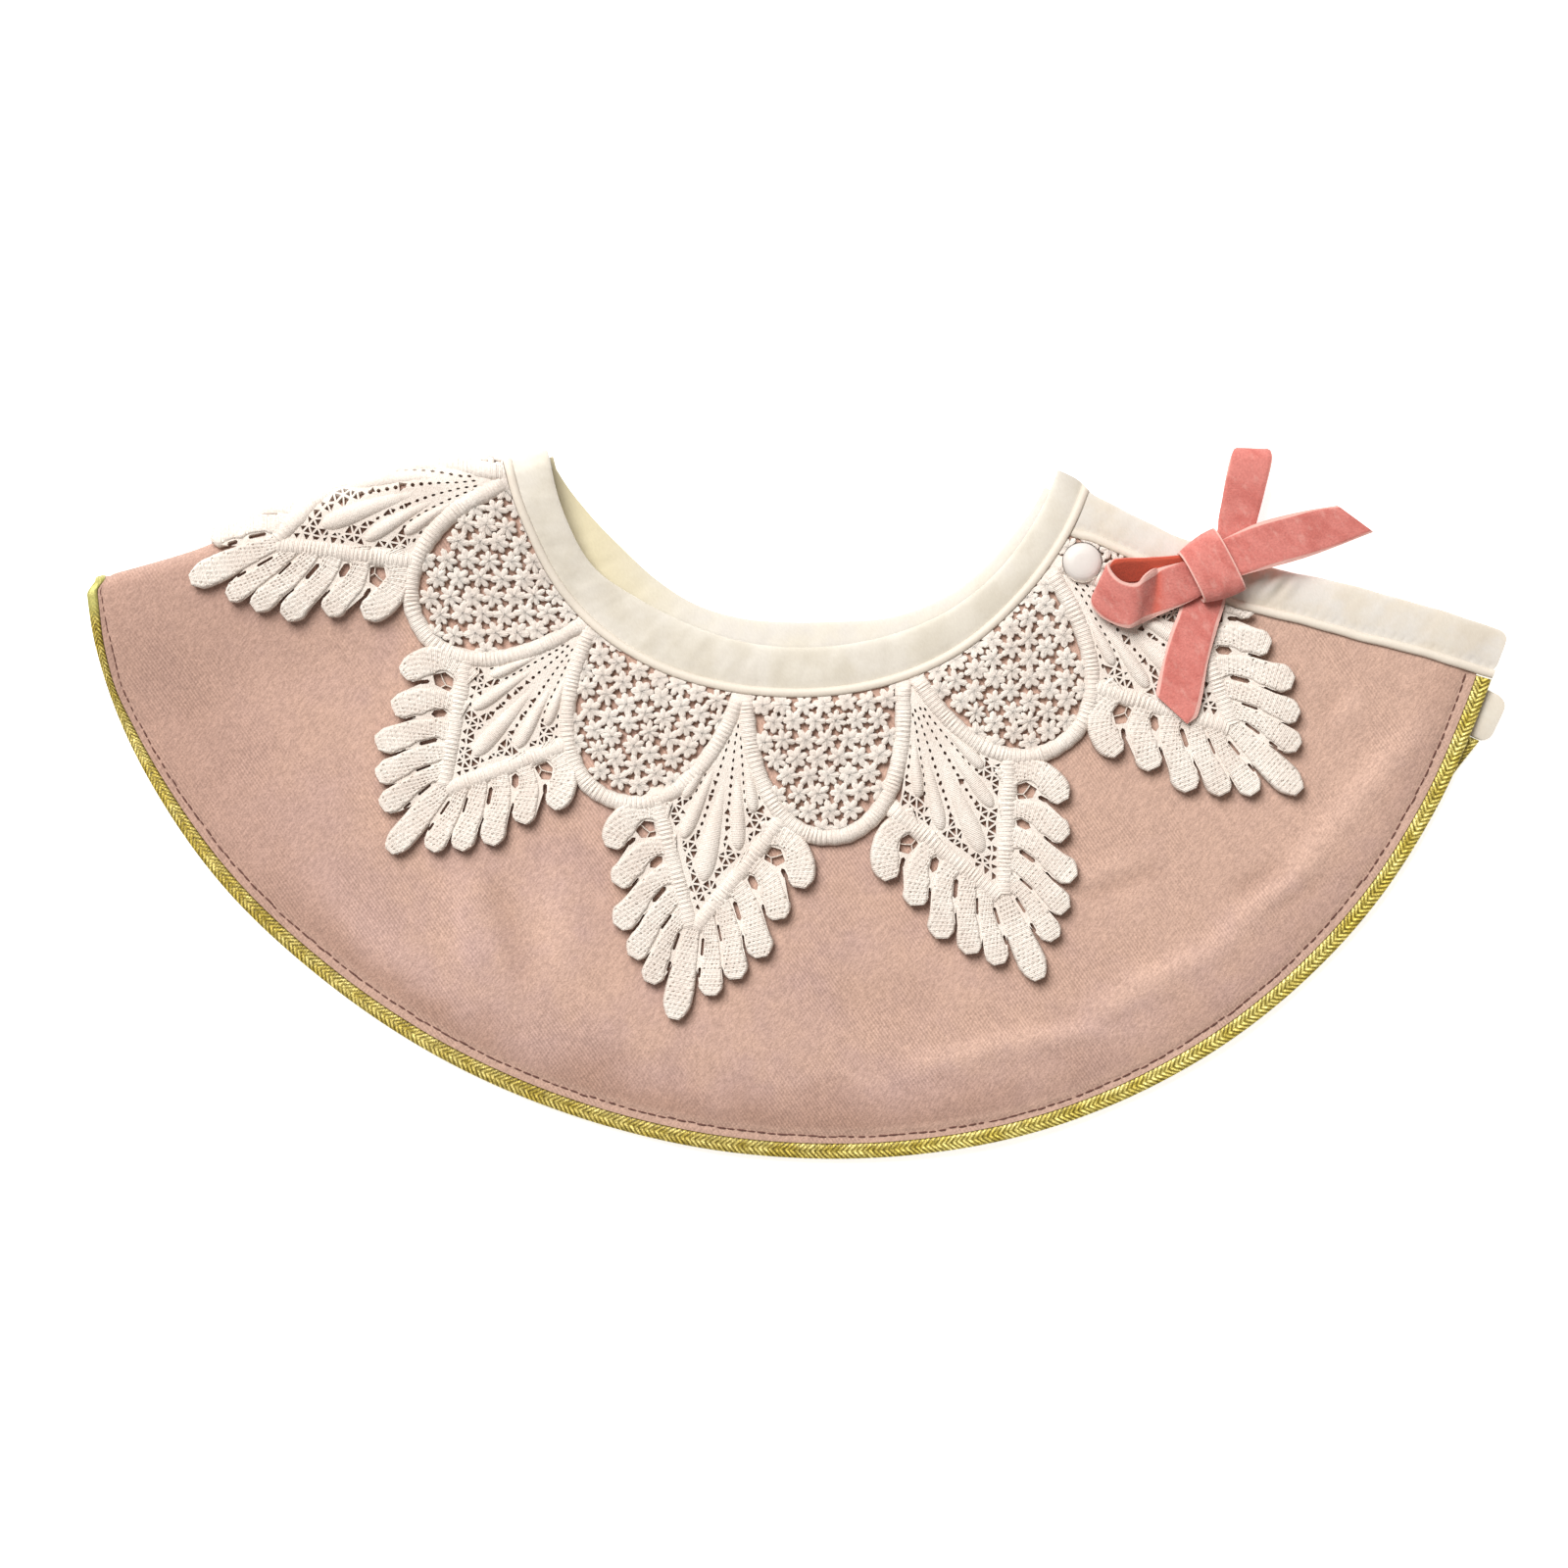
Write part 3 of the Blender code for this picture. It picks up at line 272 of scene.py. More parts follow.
DAISY_LOBE = np.array((0.0, 0.22, 0.5, 0.78))  # places of a petal's points round it
DAISY_RINGS = np.array((0.08, 0.34, 0.62, 0.86, 1.0))
TIP_CURL = 1.1             # how far the fingers' tips stand off the cloth
LACE_SEAM = 0.06           # the collar runs right up to the pipings
PRESSED_SHARE = 0.3        # how much of its height is left beside the neck piping
PRESSED_RUN = 2.8
LACE_WRAP = 9.4            # how far the lace is carried round the fold
LEAF_LENGTH = 81.4

LEAVES = (
    # apex_sweep, tip_sweep, tip_radius, left_width, right_width
    (0.6, 1.2, 157.6, 1.0, 1.0),
    (32.6, 33.3, 152.4, 1.2, 1.06),
    (63.8, 63.7, 157.6, 1.0, 1.0),
    (94.8, 97.4, 155.7, 1.0, 1.0),
    (132.1, 126.7, 156.7, 1.0, 1.0),
)
SCALLOPS = (
    # sweep, foot_sweep, half_width, depth
    (-15.6, -15.6, 20.0, 34.4),
    (16.5, 17.5, 20.0, 34.2),
    (48.2, 50.0, 20.3, 33.8),
    (79.3, 79.0, 19.5, 34.8),
    (113.2, 111.2, 21.0, 32.8),
    (147.0, 144.2, 19.8, 34.0),
)
SCALLOP_POWER = 2.2

FINGERS = (
    # root_side, root_out, bend_side, bend_out, end_side, end_out, width, notch
    (11.5, 32.6, 22.6, 31.2, 23.4, 43.6, 6.2, 0.72),
    (8.0, 40.0, 16.4, 42.0, 20.2, 52.2, 6.4, 0.66),
    (6.0, 45.5, 12.6, 49.6, 17.9, 62.2, 6.3, 0.62),
    (4.4, 50.0, 8.8, 55.8, 12.8, 68.7, 6.1, 0.62),
    (2.6, 54.5, 5.6, 62.2, 7.6, 73.9, 5.9, 0.64),
)
TIP_FINGER = (0.0, 57.0, 0.0, 68.0, 0.0, 81.4, 5.8, 0.6)
# Round a finger's tip: share of its length, share of its width
FINGER_STEPS = ((0.86, 0.5), (0.97, 0.36), (1.0, 0.12))
FINGER_SHAPE = (
    # share of the length, share of the width
    (0.0, 1.08), (0.4, 1.18), (0.75, 1.26), (0.87, 1.16), (0.95, 0.84), (1.0, 0.46),
)
LEAF_SHOULDER = ((0.0, -1.0), (3.4, 9.0), (7.6, 18.0), (13.0, 26.5))
FIRST_FINGER_BACK = (0.2, 0.45, 0.68)
ARM = ((16.4, 26.6), (14.6, 30.6), (8.9, 42.2), (0.1, 59.6))
ARM_NORMAL = (0.894, 0.447)  # the way out of the V, from its arms to the fingers
TEARDROPS = (
    # start_side, start_out, end_side, end_out, half_width
    (0.0, 12.0, 0.0, 47.0, 2.7),
    (1.2, 11.0, 7.0, 37.8, 2.05),
    (2.1, 9.0, 8.8, 28.0, 1.7),
)
TEAR_SHAPE = (
    # share of the length, share of the half width
    (0.0, 0.26), (0.15, 0.38), (0.3, 0.52), (0.55, 0.76), (0.8, 1.0), (0.92, 0.9),
    (0.98, 0.55), (1.0, 0.2),
)
ROOT_HOLE = ((13.7, 35.1), (17.1, 35.4), (18.8, 38.1), (16.9, 39.7), (13.6, 38.6))
ROOT_THREADS = (
    ((13.0, 36.9), (15.2, 37.9), (16.5, 37.3)), ((16.5, 37.3), (18.2, 36.2), (19.2, 36.2)),
    ((15.2, 37.9), (15.6, 39.2), (15.3, 40.4)),
)
FINGER_SLITS = (
    # side, out, side, out, width: open places between the fingers
    (18.6, 40.3, 19.6, 41.6, 1.1),
    (11.4, 43.8, 12.8, 45.6, 1.9),
    (15.6, 49.6, 16.6, 51.4, 0.5),
    (8.8, 50.6, 10.7, 54.0, 1.1),
    (12.4, 58.0, 13.4, 61.0, 0.5),
    (5.9, 56.8, 7.4, 60.2, 0.6),
    (3.0, 60.8, 3.5, 64.6, 0.7),
    (3.7, 68.0, 3.9, 70.0, 0.7),
)
NET_PITCH = 2.3
NET_ROWS = 34
NET_HALF_COLUMNS = 16
NET_RUN = (22.0, 57.0)     # the net's holes begin and end at these distances out
NET_INSIDE = (
    # out, half width of the net inside the V of the arms and the two cords
    (20.0, 9.0), (30.4, 14.4), (41.6, 8.6), (58.6, 0.0),
)
NET_THREAD = 0.23          # half the width of a thread of the ground net
SLIT_PITCH = 2.1
SLIT_ROOM = (-0.3, 2.6)    # a groove outside these widths has no slit
SLIT_HALF_WIDTHS = (0.29, 0.43)
SLIT_SHAPE = np.array(
    # share of the half width, place along the groove
    ((0, -0.55), (0.9, -0.2), (0.8, 0.3), (0, 0.6), (-0.9, 0.2), (-0.8, -0.3))
)

# Snap and bow, placed from the neck centre
SNAP_CENTRE = np.array((68.6, -41.6))
SNAP_RADIUS = 4.9
SNAP_PROFILE = (
    (4.5, 0.0), (4.85, 0.25), (SNAP_RADIUS, 0.7), (4.86, 1.15), (4.7, 1.6), (4.4, 2.0),
    (3.9, 2.4), (3.1, 2.68), (2.2, 2.84), (1.1, 2.9), (0.2, 2.9),
)
RIBBON_WALL = 1.1
WOVEN_EDGE = 0.16          # share of the half width that the woven edge takes
WOVEN_SHARE = 0.44         # its share of the wall
DENT_SHADE = 0.55          # how much the pile is darkened towards the painted shade in a dent
DENT_RUN = 1.7
KNOT_CENTRE = np.array((99.7, -43.3))
KNOT_WRAP_BEARING = radians(-63.6)
KNOT_LENGTH = (7.4, 9.2)   # half lengths along its left and right edges
KNOT_HALF_WIDTH = 5.3
KNOT_POWER = 2.6           # a little squarer than an ellipse, which is 2
KNOT_BOTTOM = 7.0
KNOT_TOP = 14.9
KNOT_FOLDS = (
    # turn round the knot in degrees, place across, lean, half_width, height
    (90.0, -0.62, 0.0, 0.1, 0.42),
    (62.0, 0.15, 0.9, 0.2, 0.3),
    (108.0, 0.4, -0.7, 0.17, -0.3),
    (128.0, -0.1, 0.5, 0.15, 0.25),
)

LEFT_LOOP = (
    # rim_x, rim_y, rim_z, foot_x, foot_y, foot_z
    (94.6, -41.3, 12.0, 98.2, -49.6, 10.4),
    (91.3, -42.2, 12.4, 94.8, -51.4, 10.2),
    (88.6, -42.8, 11.6, 90.4, -53.4, 9.2),
    (86.9, -43.2, 10.7, 86.2, -55.2, 8.4),
    (85.6, -43.6, 12.2, 83.2, -56.6, 9.2),
    (83.3, -45.2, 13.9, 81.2, -57.5, 10.4),
    (81.5, -47.0, 13.9, 79.4, -57.9, 10.4),
    (78.2, -46.7, 13.6, 75.6, -56.6, 9.4),
    (75.6, -44.6, 13.4, 72.1, -54.2, 8.7),
    (74.7, -42.4, 13.2, 70.8, -51.4, 8.4),
    (76.1, -41.3, 13.2, 72.8, -48.9, 8.3),
    (79.8, -40.9, 12.8, 78.2, -46.9, 8.3),
    (84.6, -40.8, 12.2, 84.6, -46.4, 8.3),
    (89.9, -40.3, 11.2, 91.3, -45.6, 8.3),
    (94.0, -39.8, 10.4, 95.4, -45.2, 8.3),
)
LEFT_DENT = 10.6           # run from the knot to the dent, where shade is painted
UPRIGHT_LOOP = (
    # left_x, left_y, left_z, right_x, right_y, right_z
    (101.2, -36.4, 9.2, 107.0, -43.6, 9.2),
    (101.8, -32.8, 9.2, 110.4, -36.2, 9.2),
    (101.9, -31.0, 9.4, 111.3, -32.0, 9.4),
    (103.4, -22.6, 10.4, 113.4, -23.4, 10.6),
    (104.6, -16.4, 10.6, 115.0, -16.6, 10.8),
    (105.8, -14.0, 9.0, 114.6, -14.3, 9.2),
    (104.9, -16.4, 7.2, 114.6, -16.8, 7.2),
    (103.6, -22.8, 6.6, 113.1, -23.6, 6.6),
    (102.3, -31.4, 6.4, 111.0, -33.0, 6.4),
)
RIGHT_TAIL = (
    # upper_x, upper_y, upper_z, lower_x, lower_y, lower_z
    (100.0, -37.6, 11.6, 104.4, -46.2, 11.6),
    (103.05, -36.05, 12.0, 107.6, -45.05, 12.0),
    (111.1, -32.3, 12.4, 114.4, -43.2, 11.8),
    (121.3, -29.5, 11.6, 124.6, -40.2, 10.8),
    (131.0, -27.8, 10.2, 140.1, -34.3, 9.0),
)
DOWN_TAIL = (
    # left_x, left_y, left_z, right_x, right_y, right_z
    (93.4, -49.4, 8.3, 104.6, -47.2, 8.3),
    (92.0, -54.4, 8.3, 103.4, -52.6, 8.3),
    (90.4, -58.4, 8.3, 102.0, -57.0, 8.3),
    (88.7, -64.8, 8.3, 99.5, -66.0, 8.3),
    (86.6, -73.6, 8.2, 96.9, -79.4, 8.1),
    (87.1, -74.9, 8.2, 94.3, -81.5, 8.1),
)

# Stage, in metres apart from the middle of the view
VIEW_MIDDLE = (-3.95354, 5.07128)
TABLE_HALF = 3.0
WINDOW_PLACE = (-1.05, 1.75, 2.6)
WINDOW_SIZE = 2.1


def smooth(value):
    """Ease from 0 to 1 with level ends."""
    value = np.clip(value, 0.0, 1.0)
    return value * value * (3.0 - 2.0 * value)


def mix(start, end, share):
    return start + (end - start) * share


def read_table(table, place, column=1):
    """Read a table at many places on a smooth curve through its rows."""
    rows = np.array(table, float)
    x, y = rows[:, 0], rows[:, column]
    slope = np.empty_like(y)
    slope[1:-1] = (y[2:] - y[:-2]) / (x[2:] - x[:-2])
    slope[0] = (y[1] - y[0]) / (x[1] - x[0])
    slope[-1] = (y[-1] - y[-2]) / (x[-1] - x[-2])
    place = np.clip(place, x[0], x[-1])
    row = np.clip(np.searchsorted(x, place) - 1, 0, len(x) - 2)
    width = x[row + 1] - x[row]
    share = (place - x[row]) / width
    square = share * share
    cube = square * share
    return (
        (2 * cube - 3 * square + 1) * y[row]
        + (cube - 2 * square + share) * width * slope[row]
        + (3 * square - 2 * cube) * y[row + 1]
        + (cube - square) * width * slope[row + 1]
    )


def ring(column, offset=0.0):
    """A ring of the bib as a function of sweep: the neck, the seam or the hem."""
    return lambda sweep: read_table(RINGS, sweep, column) + offset


def braid_foot(sweep):
    """Inner edge of the front braid, which rolls under towards the fold."""
    shown = BRAID_WIDTH * read_table(HEM_EDGE, sweep, SHOWN)
    return read_table(RINGS, sweep, HEM) - shown


def stitch_line(sweep):
    return read_table(RINGS, sweep, HEM) - read_table(HEM_EDGE, sweep, INSET)


def back_hem(offset=0.0):
    return lambda sweep: (
        read_table(RINGS, sweep, HEM) + read_table(BACK_HEM, sweep) + offset
    )


def unit(bearing):
    return np.array((cos(bearing), sin(bearing)))


ALONG = unit(FOLD_BEARING)
ACROSS = unit(FOLD_BEARING + pi / 2)
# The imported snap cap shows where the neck's centre lies in the frame
SNAP_LOW, SNAP_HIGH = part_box("snap_cap")
NECK_CENTRE = np.array((SNAP_LOW + SNAP_HIGH) / 2)[:2] / MM - SNAP_CENTRE


def from_polar(radius, sweep):
    """Flat (along, across) of a radius and a sweep."""
    angle = np.radians(sweep)
    return np.stack([radius * np.cos(angle), radius * np.sin(angle)], -1)


def to_polar(along, across):
    return np.hypot(along, across), np.degrees(np.arctan2(across, along))


def heading(start, end):
    """The unit way from one flat place to another, and the way to its left."""
    way = (end - start) / np.hypot(*(end - start))
    return way, np.array((-way[1], way[0]))


def to_plan(along, across, height):
    """Places in the frame's own axes, still in millimetres."""
    flat = NECK_CENTRE + along[..., None] * ALONG + across[..., None] * ACROSS
    return np.concatenate([flat, height[..., None]], -1)


def fold_offset(along, across):
    """How far the bowed fold line carries the cloth, fading into the front."""
    return -read_table(FOLD_BOW, along) * (1.0 - smooth(across / FOLD_BOW_RUN))


def crease_lift(along, across):
    """The soft ridges and troughs that the cloth has been pressed into."""
    lift = np.zeros_like(along)
    for radius, sweep, far_radius, far_sweep, half_width, height in CREASES:
        start = from_polar(radius, sweep)
        run = from_polar(far_radius, far_sweep) - start
        length = np.hypot(*run)
        out = along - start[0]
        aside = across - start[1]
        share = (out * run[0] + aside * run[1]) / length**2
        gap = (out * run[1] - aside * run[0]) / length
        fade = smooth((0.5 - abs(share - 0.5)) / CREASE_FADE)
        lift += height * fade * np.exp(-((gap / half_width) ** 2))
    return lift


def cloth_lift(along, across):
    """Height of the front's outer face over its level part."""
    radius, sweep = to_polar(along, across)
    settled = smooth(across / FOLD_RUN)
    lift = FOLD_RISE * (1.0 - settled)
    outward = smooth((radius - WAVE_FROM_RADIUS) / WAVE_RUN)
    for centre, half_width, height in SOFT_WAVES:
        lift = lift + height * outward * (1.0 - smooth(abs(sweep - centre) / half_width))
    hem = read_table(RINGS, sweep, HEM)
    droop = smooth((radius - hem + HEM_DROOP_RUN) / HEM_DROOP_RUN)
    return lift - HEM_DROOP * droop * settled + crease_lift(along, across) * settled


def stitch_pull(along, across):
    """How deep the topstitch draws the cloth in."""
    radius, sweep = to_polar(along, np.maximum(across, 0.0))
    gap = radius - stitch_line(sweep)
    return STITCH_PULL * np.exp(-((gap / STITCH_PULL_WIDTH) ** 2))


def on_cloth(flat):
    """Places over the cloth; a negative across lies round the fold."""
    along, across, height = np.moveaxis(np.asarray(flat, float), -1, 0)
    front = np.maximum(across, 0.0)
    level = FRONT_TOP + cloth_lift(along, front) + height
    upper = to_plan(along, front + fold_offset(along, front), level)
    turn = np.maximum(-across, 0.0) / NOSE_RADIUS
    pulled = along - CORNER_PULL * smooth((along - CORNER_FROM) / CORNER_RUN) * smooth(turn)
    reach = NOSE_RADIUS + height
    aside = fold_offset(pulled, 0.0) - reach * np.sin(turn)
    round_fold = to_plan(pulled, aside, NOSE_CENTRE_Z + reach * np.cos(turn))
    return np.where((across >= 0.0)[..., None], upper, round_fold)


def on_floor(flat):
    """Places of the hidden half, under the same plan as the front."""
    along, across, height = np.moveaxis(np.asarray(flat, float), -1, 0)
    return to_plan(along, across + fold_offset(along, across), height)


def opening_edge(inset):
    """The opening's edge, a little uneven as sewn."""
    return lambda radius: (
        read_table(OPENING, radius, OPEN_DIP) + inset
        + 0.13 * np.sin(radius / 4.6) + 0.05 * np.sin(radius / 1.7 + 1.0)
    )


def placket_foot(inset):
    edge = opening_edge(inset)
    return lambda radius: edge(radius) + read_table(OPENING, radius, OPEN_WIDTH)


def back_edge(inset):
    return lambda radius: read_table(BACK_OPENING, radius) + inset


def sweep_of(depth, radius):
    """Sweep at a radius of the line that lies at a depth inside the opening line."""
    return OPEN_SWEEP - np.degrees(np.arcsin(depth(radius) / radius))


def bent_sweep(nominal, radius, end):
    """Turn a station towards the ring's end over the last part of the front."""
    share = (nominal - FAN_BEND_FROM) / (OPEN_SWEEP - FAN_BEND_FROM)
    bent = mix(FAN_BEND_FROM, sweep_of(end, radius), share)
    return np.where(nominal <= FAN_BEND_FROM, nominal, bent)


def rounded_rows(count):
    """Shares from 0 to 1 that crowd towards both edges."""
    return (1.0 - np.cos(np.linspace(0.0, pi, count + 1))) / 2.0


def ring_grid(inner, outer, rows, nose, stations, end):
    """Flat stations of a ring, as (along, across, share), with lines round the nose."""
    rows = np.asarray(rows, float)
    nose = np.asarray(nose, float)
    nominal = np.asarray(stations, float)[:, None] * np.ones(len(rows))
    sweep = nominal
    for _ in range(3):
        radius = mix(inner(sweep), outer(sweep), rows)
        sweep = bent_sweep(nominal, radius, end)
    front = np.concatenate([from_polar(radius, sweep), (nominal * 0 + rows)[..., None]], -1)
    reach = mix(inner(0.0), outer(0.0), rows)
    behind = np.stack(np.broadcast_arrays(reach, nose[:, None], rows), -1)
    return np.concatenate([behind, front], 0)


def nose_lines(count, wrap=NOSE_RADIUS * pi):
    """Lines round the fold's nose, from its underside up to the front."""
    return -wrap * (1.0 - np.arange(count) / count)


def fan(pitch):
    return np.linspace(0.0, OPEN_SWEEP, int(round(OPEN_SWEEP / pitch)) + 1)


def columns_across(count):
    """Places from -1 to 1 that crowd towards both edges."""
    return np.sin(np.linspace(-pi / 2, pi / 2, count))


def rounded(across, power=2):
    """A rounded top: 1 in the middle, falling to 0 at -1 and 1."""
    return np.sqrt(np.maximum(0.0, 1.0 - across**power))


def crown(edge, middle, lean=1.0):
    """A height that rises from both edges to a rounded middle."""
    return lambda share: mix(edge, middle, rounded(2 * share**lean - 1))


def at_height(grid, height):
    """The flat places at one height, or at a height read from their shares."""
    top = height(grid[..., 2]) if callable(height) else grid[..., 0] * 0 + height
    return np.concatenate([grid[..., :2], top[..., None]], -1)


def steps_along(line):
    """Distance run at each point of a line."""
    step = np.linalg.norm(np.diff(line, axis=0), axis=1)
    return np.concatenate([[0.0], np.cumsum(step)])


def side_of(line):
    """The way to the left of a flat line, at each of its points."""
    run = np.gradient(line, axis=0)
    run /= np.linalg.norm(run, axis=1)[:, None]
    return np.stack([-run[:, 1], run[:, 0]], 1)


def resample(line, step):
    """The same line with even steps."""
    run = steps_along(line)
    count = max(2, int(round(run[-1] / step)))
    at = np.linspace(0.0, run[-1], count + 1)
    return np.stack([np.interp(at, run, column) for column in line.T], -1)


def gap_to(points, line):
    """Distance from each point to a line, the share of its length and the place there."""
    best = np.full(len(points), 1e9)
    part = np.zeros(len(points))
    place = np.zeros((len(points), 2))
    for number, (start, end) in enumerate(zip(line[:-1], line[1:])):
        run = end - start
        share = np.clip((points - start) @ run / max(run @ run, 1e-9), 0.0, 1.0)
        near = start + share[:, None] * run
        gap = np.linalg.norm(points - near, axis=1)
        nearer = gap < best
        best[nearer] = gap[nearer]
        part[nearer] = (number + share[nearer]) / (len(line) - 1)
        place[nearer] = near[nearer]
    return best, part, place


def put_in_scene(name, data):
    thing = bpy.data.objects.new(name, data)
    bpy.context.scene.collection.objects.link(thing)
    return thing


class Work:
    """Points, faces and flat patterns gathered for one piece."""

    def __init__(self):
        self.points = []
        self.faces = []
        self.cuts = []
        self.rises = []
        self.count = 0

    def add(self, points, faces, cut, rise=None):
        self.points.append(points)
        self.cuts.append(cut)
        self.rises.append(np.ones(len(points)) if rise is None else np.ravel(rise))
        self.faces += [[corner + self.count for corner in face] for face in faces]
        self.count += len(points)

    def add_shell(self, grid, looped=False, cut=None, rise=None):
        """A closed shell whose stations are rings of points, capped at both ends."""
        stations, around = grid.shape[:2]
        index = np.arange(stations * around).reshape(stations, around)
        near = index if looped else index[:-1]
        far = np.roll(index, -1, 0) if looped else index[1:]
        sides = np.stack([near, np.roll(near, -1, 1), np.roll(far, -1, 1), far], -1)
        faces = [sides.reshape(-1, 4)]
        if not looped:
            left = np.arange(around // 2 - 1)
            right = around - 1 - left
            cap = np.stack([left, right, right - 1, left + 1], -1)
            faces += [index[0][cap], index[-1][cap[:, ::-1]]]
        faces = np.concatenate(faces)
        points = grid.reshape(-1, 3)
        a, b, c, d = (points[faces[:, corner]] - points[0] for corner in range(4))
        volume = (a * np.cross(b, c)).sum() + (a * np.cross(c, d)).sum()
        if volume < 0.0:
            faces = faces[:, ::-1]
        if cut is None:
            run = steps_along(grid.mean(1))[:, None] * np.ones(around)
            cut = np.stack([run, np.arange(around) + run * 0.0], -1)
        self.add(points, faces.tolist(), cut.reshape(-1, 2), rise)

    def add_raised(self, rings, cut):
        """Lace relief from its flat rings, which keep their height over the cloth."""
        self.add_shell(on_cloth(pressed(tuck(rings))), cut=cut, rise=rings[..., 2])

    def finish(self, name, material, slot, nodes=(), sharp=50.0):
        """Write the piece's mesh in metres, with its flat pattern as a UV map."""
        mesh = bpy.data.meshes.new(name)
        points = np.concatenate(self.points) * MM
        mesh.from_pydata(points.tolist(), [], self.faces)
        mesh.materials.append(material)
        pattern = mesh.uv_layers.new(name="Pattern")
        corners = np.empty(len(mesh.loops), int)
        mesh.loops.foreach_get("vertex_index", corners)
        cut = np.concatenate(self.cuts) * MM
        pattern.uv.foreach_set("vector", cut[corners].astype(np.float32).ravel())
        # Rise is read by the materials: the lace's heights for its painted shade, the creases
        # for the cloth's painted light and shade, the braid's roll under the fold, and the
        # ribbon's outer faces and dents for its painted shade
        rise = mesh.attributes.new("Rise", "FLOAT", "POINT")
        rise.data.foreach_set("value", np.concatenate(self.rises).astype(np.float32))
        mesh.shade_smooth()
        mesh.set_sharp_from_angle(angle=radians(sharp))
        piece = put_in_scene(name, mesh)
        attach(piece, "root")
        if nodes:
            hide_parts(*nodes)
        return piece


def sheet_rings(upper, lower):
    """Rings of a sheet: its upper row, then its lower row on the way back."""
    return np.concatenate([upper, lower[:, ::-1]], 1)


def sheet_cut(grid, width):
    """Flat pattern of a sheet: distance along it and place across it."""
    middle = grid[:, grid.shape[1] // 2, :2]
    run = steps_along(middle)[:, None] * np.ones(grid.shape[1])
    upper = np.stack([run, grid[..., 2] * width], -1)
    return sheet_rings(upper, upper)


def raised_strip(centre, half_width, across, height):
    """Flat rings of a strip on the cloth, with its top heights and a level underside."""
    side = side_of(centre)
    reach = half_width[..., None] * across if half_width.ndim == 1 else half_width * across
    top = centre[:, None] + side[:, None] * reach[..., None]
    top = np.concatenate([top, height[..., None]], -1)
    right, left = top[:, -1:].copy(), top[:, :1].copy()
    right[..., 2] = left[..., 2] = GAP
    cut_top = np.stack([steps_along(centre)[:, None] + reach * 0.0, reach], -1)
    cut = np.concatenate([cut_top, cut_top[:, -1:], cut_top[:, :1]], 1)
    return np.concatenate([top, right, left], 1), cut


def tuck(flat):
    """Keep lace off the neck seam, the placket, the snap and the end of its wrap."""
    flat = np.array(flat, float)
    along, across = flat[..., 0], flat[..., 1]
    across[:] = np.maximum(across, -LACE_WRAP)
    behind = across < 0.0
    seam_start = ring(SEAM, LACE_SEAM)(0.0)
    along[:] = np.where(behind, np.maximum(along, seam_start), along)
    radius, sweep = to_polar(along, across)
    kept = np.maximum(radius, ring(SEAM, LACE_SEAM)(sweep))
    limit = sweep_of(placket_foot(LACE_SEAM), kept)
    turned = np.where((sweep > 90.0) & (sweep > limit), limit, sweep)
    front = from_polar(kept, turned)
    flat[..., :2] = np.where(behind[..., None], flat[..., :2], front)
    snap = np.array((SNAP_CENTRE @ ALONG, SNAP_CENTRE @ ACROSS))
    away = flat[..., :2] - snap
    distance = np.maximum(np.linalg.norm(away, axis=-1), 1e-6)
    room = SNAP_RADIUS + SLOT
    pushed = snap + away / distance[..., None] * room
    flat[..., :2] = np.where((distance < room)[..., None], pushed, flat[..., :2])
    return flat


def pressed(flat):
    """Lace pressed flat where it runs in under the neck piping."""
    along, across = flat[..., 0], flat[..., 1]
    radius, sweep = to_polar(along, np.maximum(across, 0.0))
    away = radius - read_table(RINGS, sweep, SEAM)
    share = mix(PRESSED_SHARE, 1.0, smooth(away / PRESSED_RUN))
    height = GAP + (flat[..., 2] - GAP) * share
    return np.concatenate([flat[..., :2], height[..., None]], -1)


def shows(points):
    """Whether each flat point lies where the collar isn't cut off."""
    return np.linalg.norm(tuck(points) - points, axis=-1) < 1e-3


def kept_run(line, margin=0):
    """The stretch of a line that the collar keeps, with a margin of points."""
    seen = np.nonzero(shows(line))[0]
    if len(seen) < 3:
        return None
    return line[max(seen[0] - margin, 0):seen[-1] + 1 + margin]


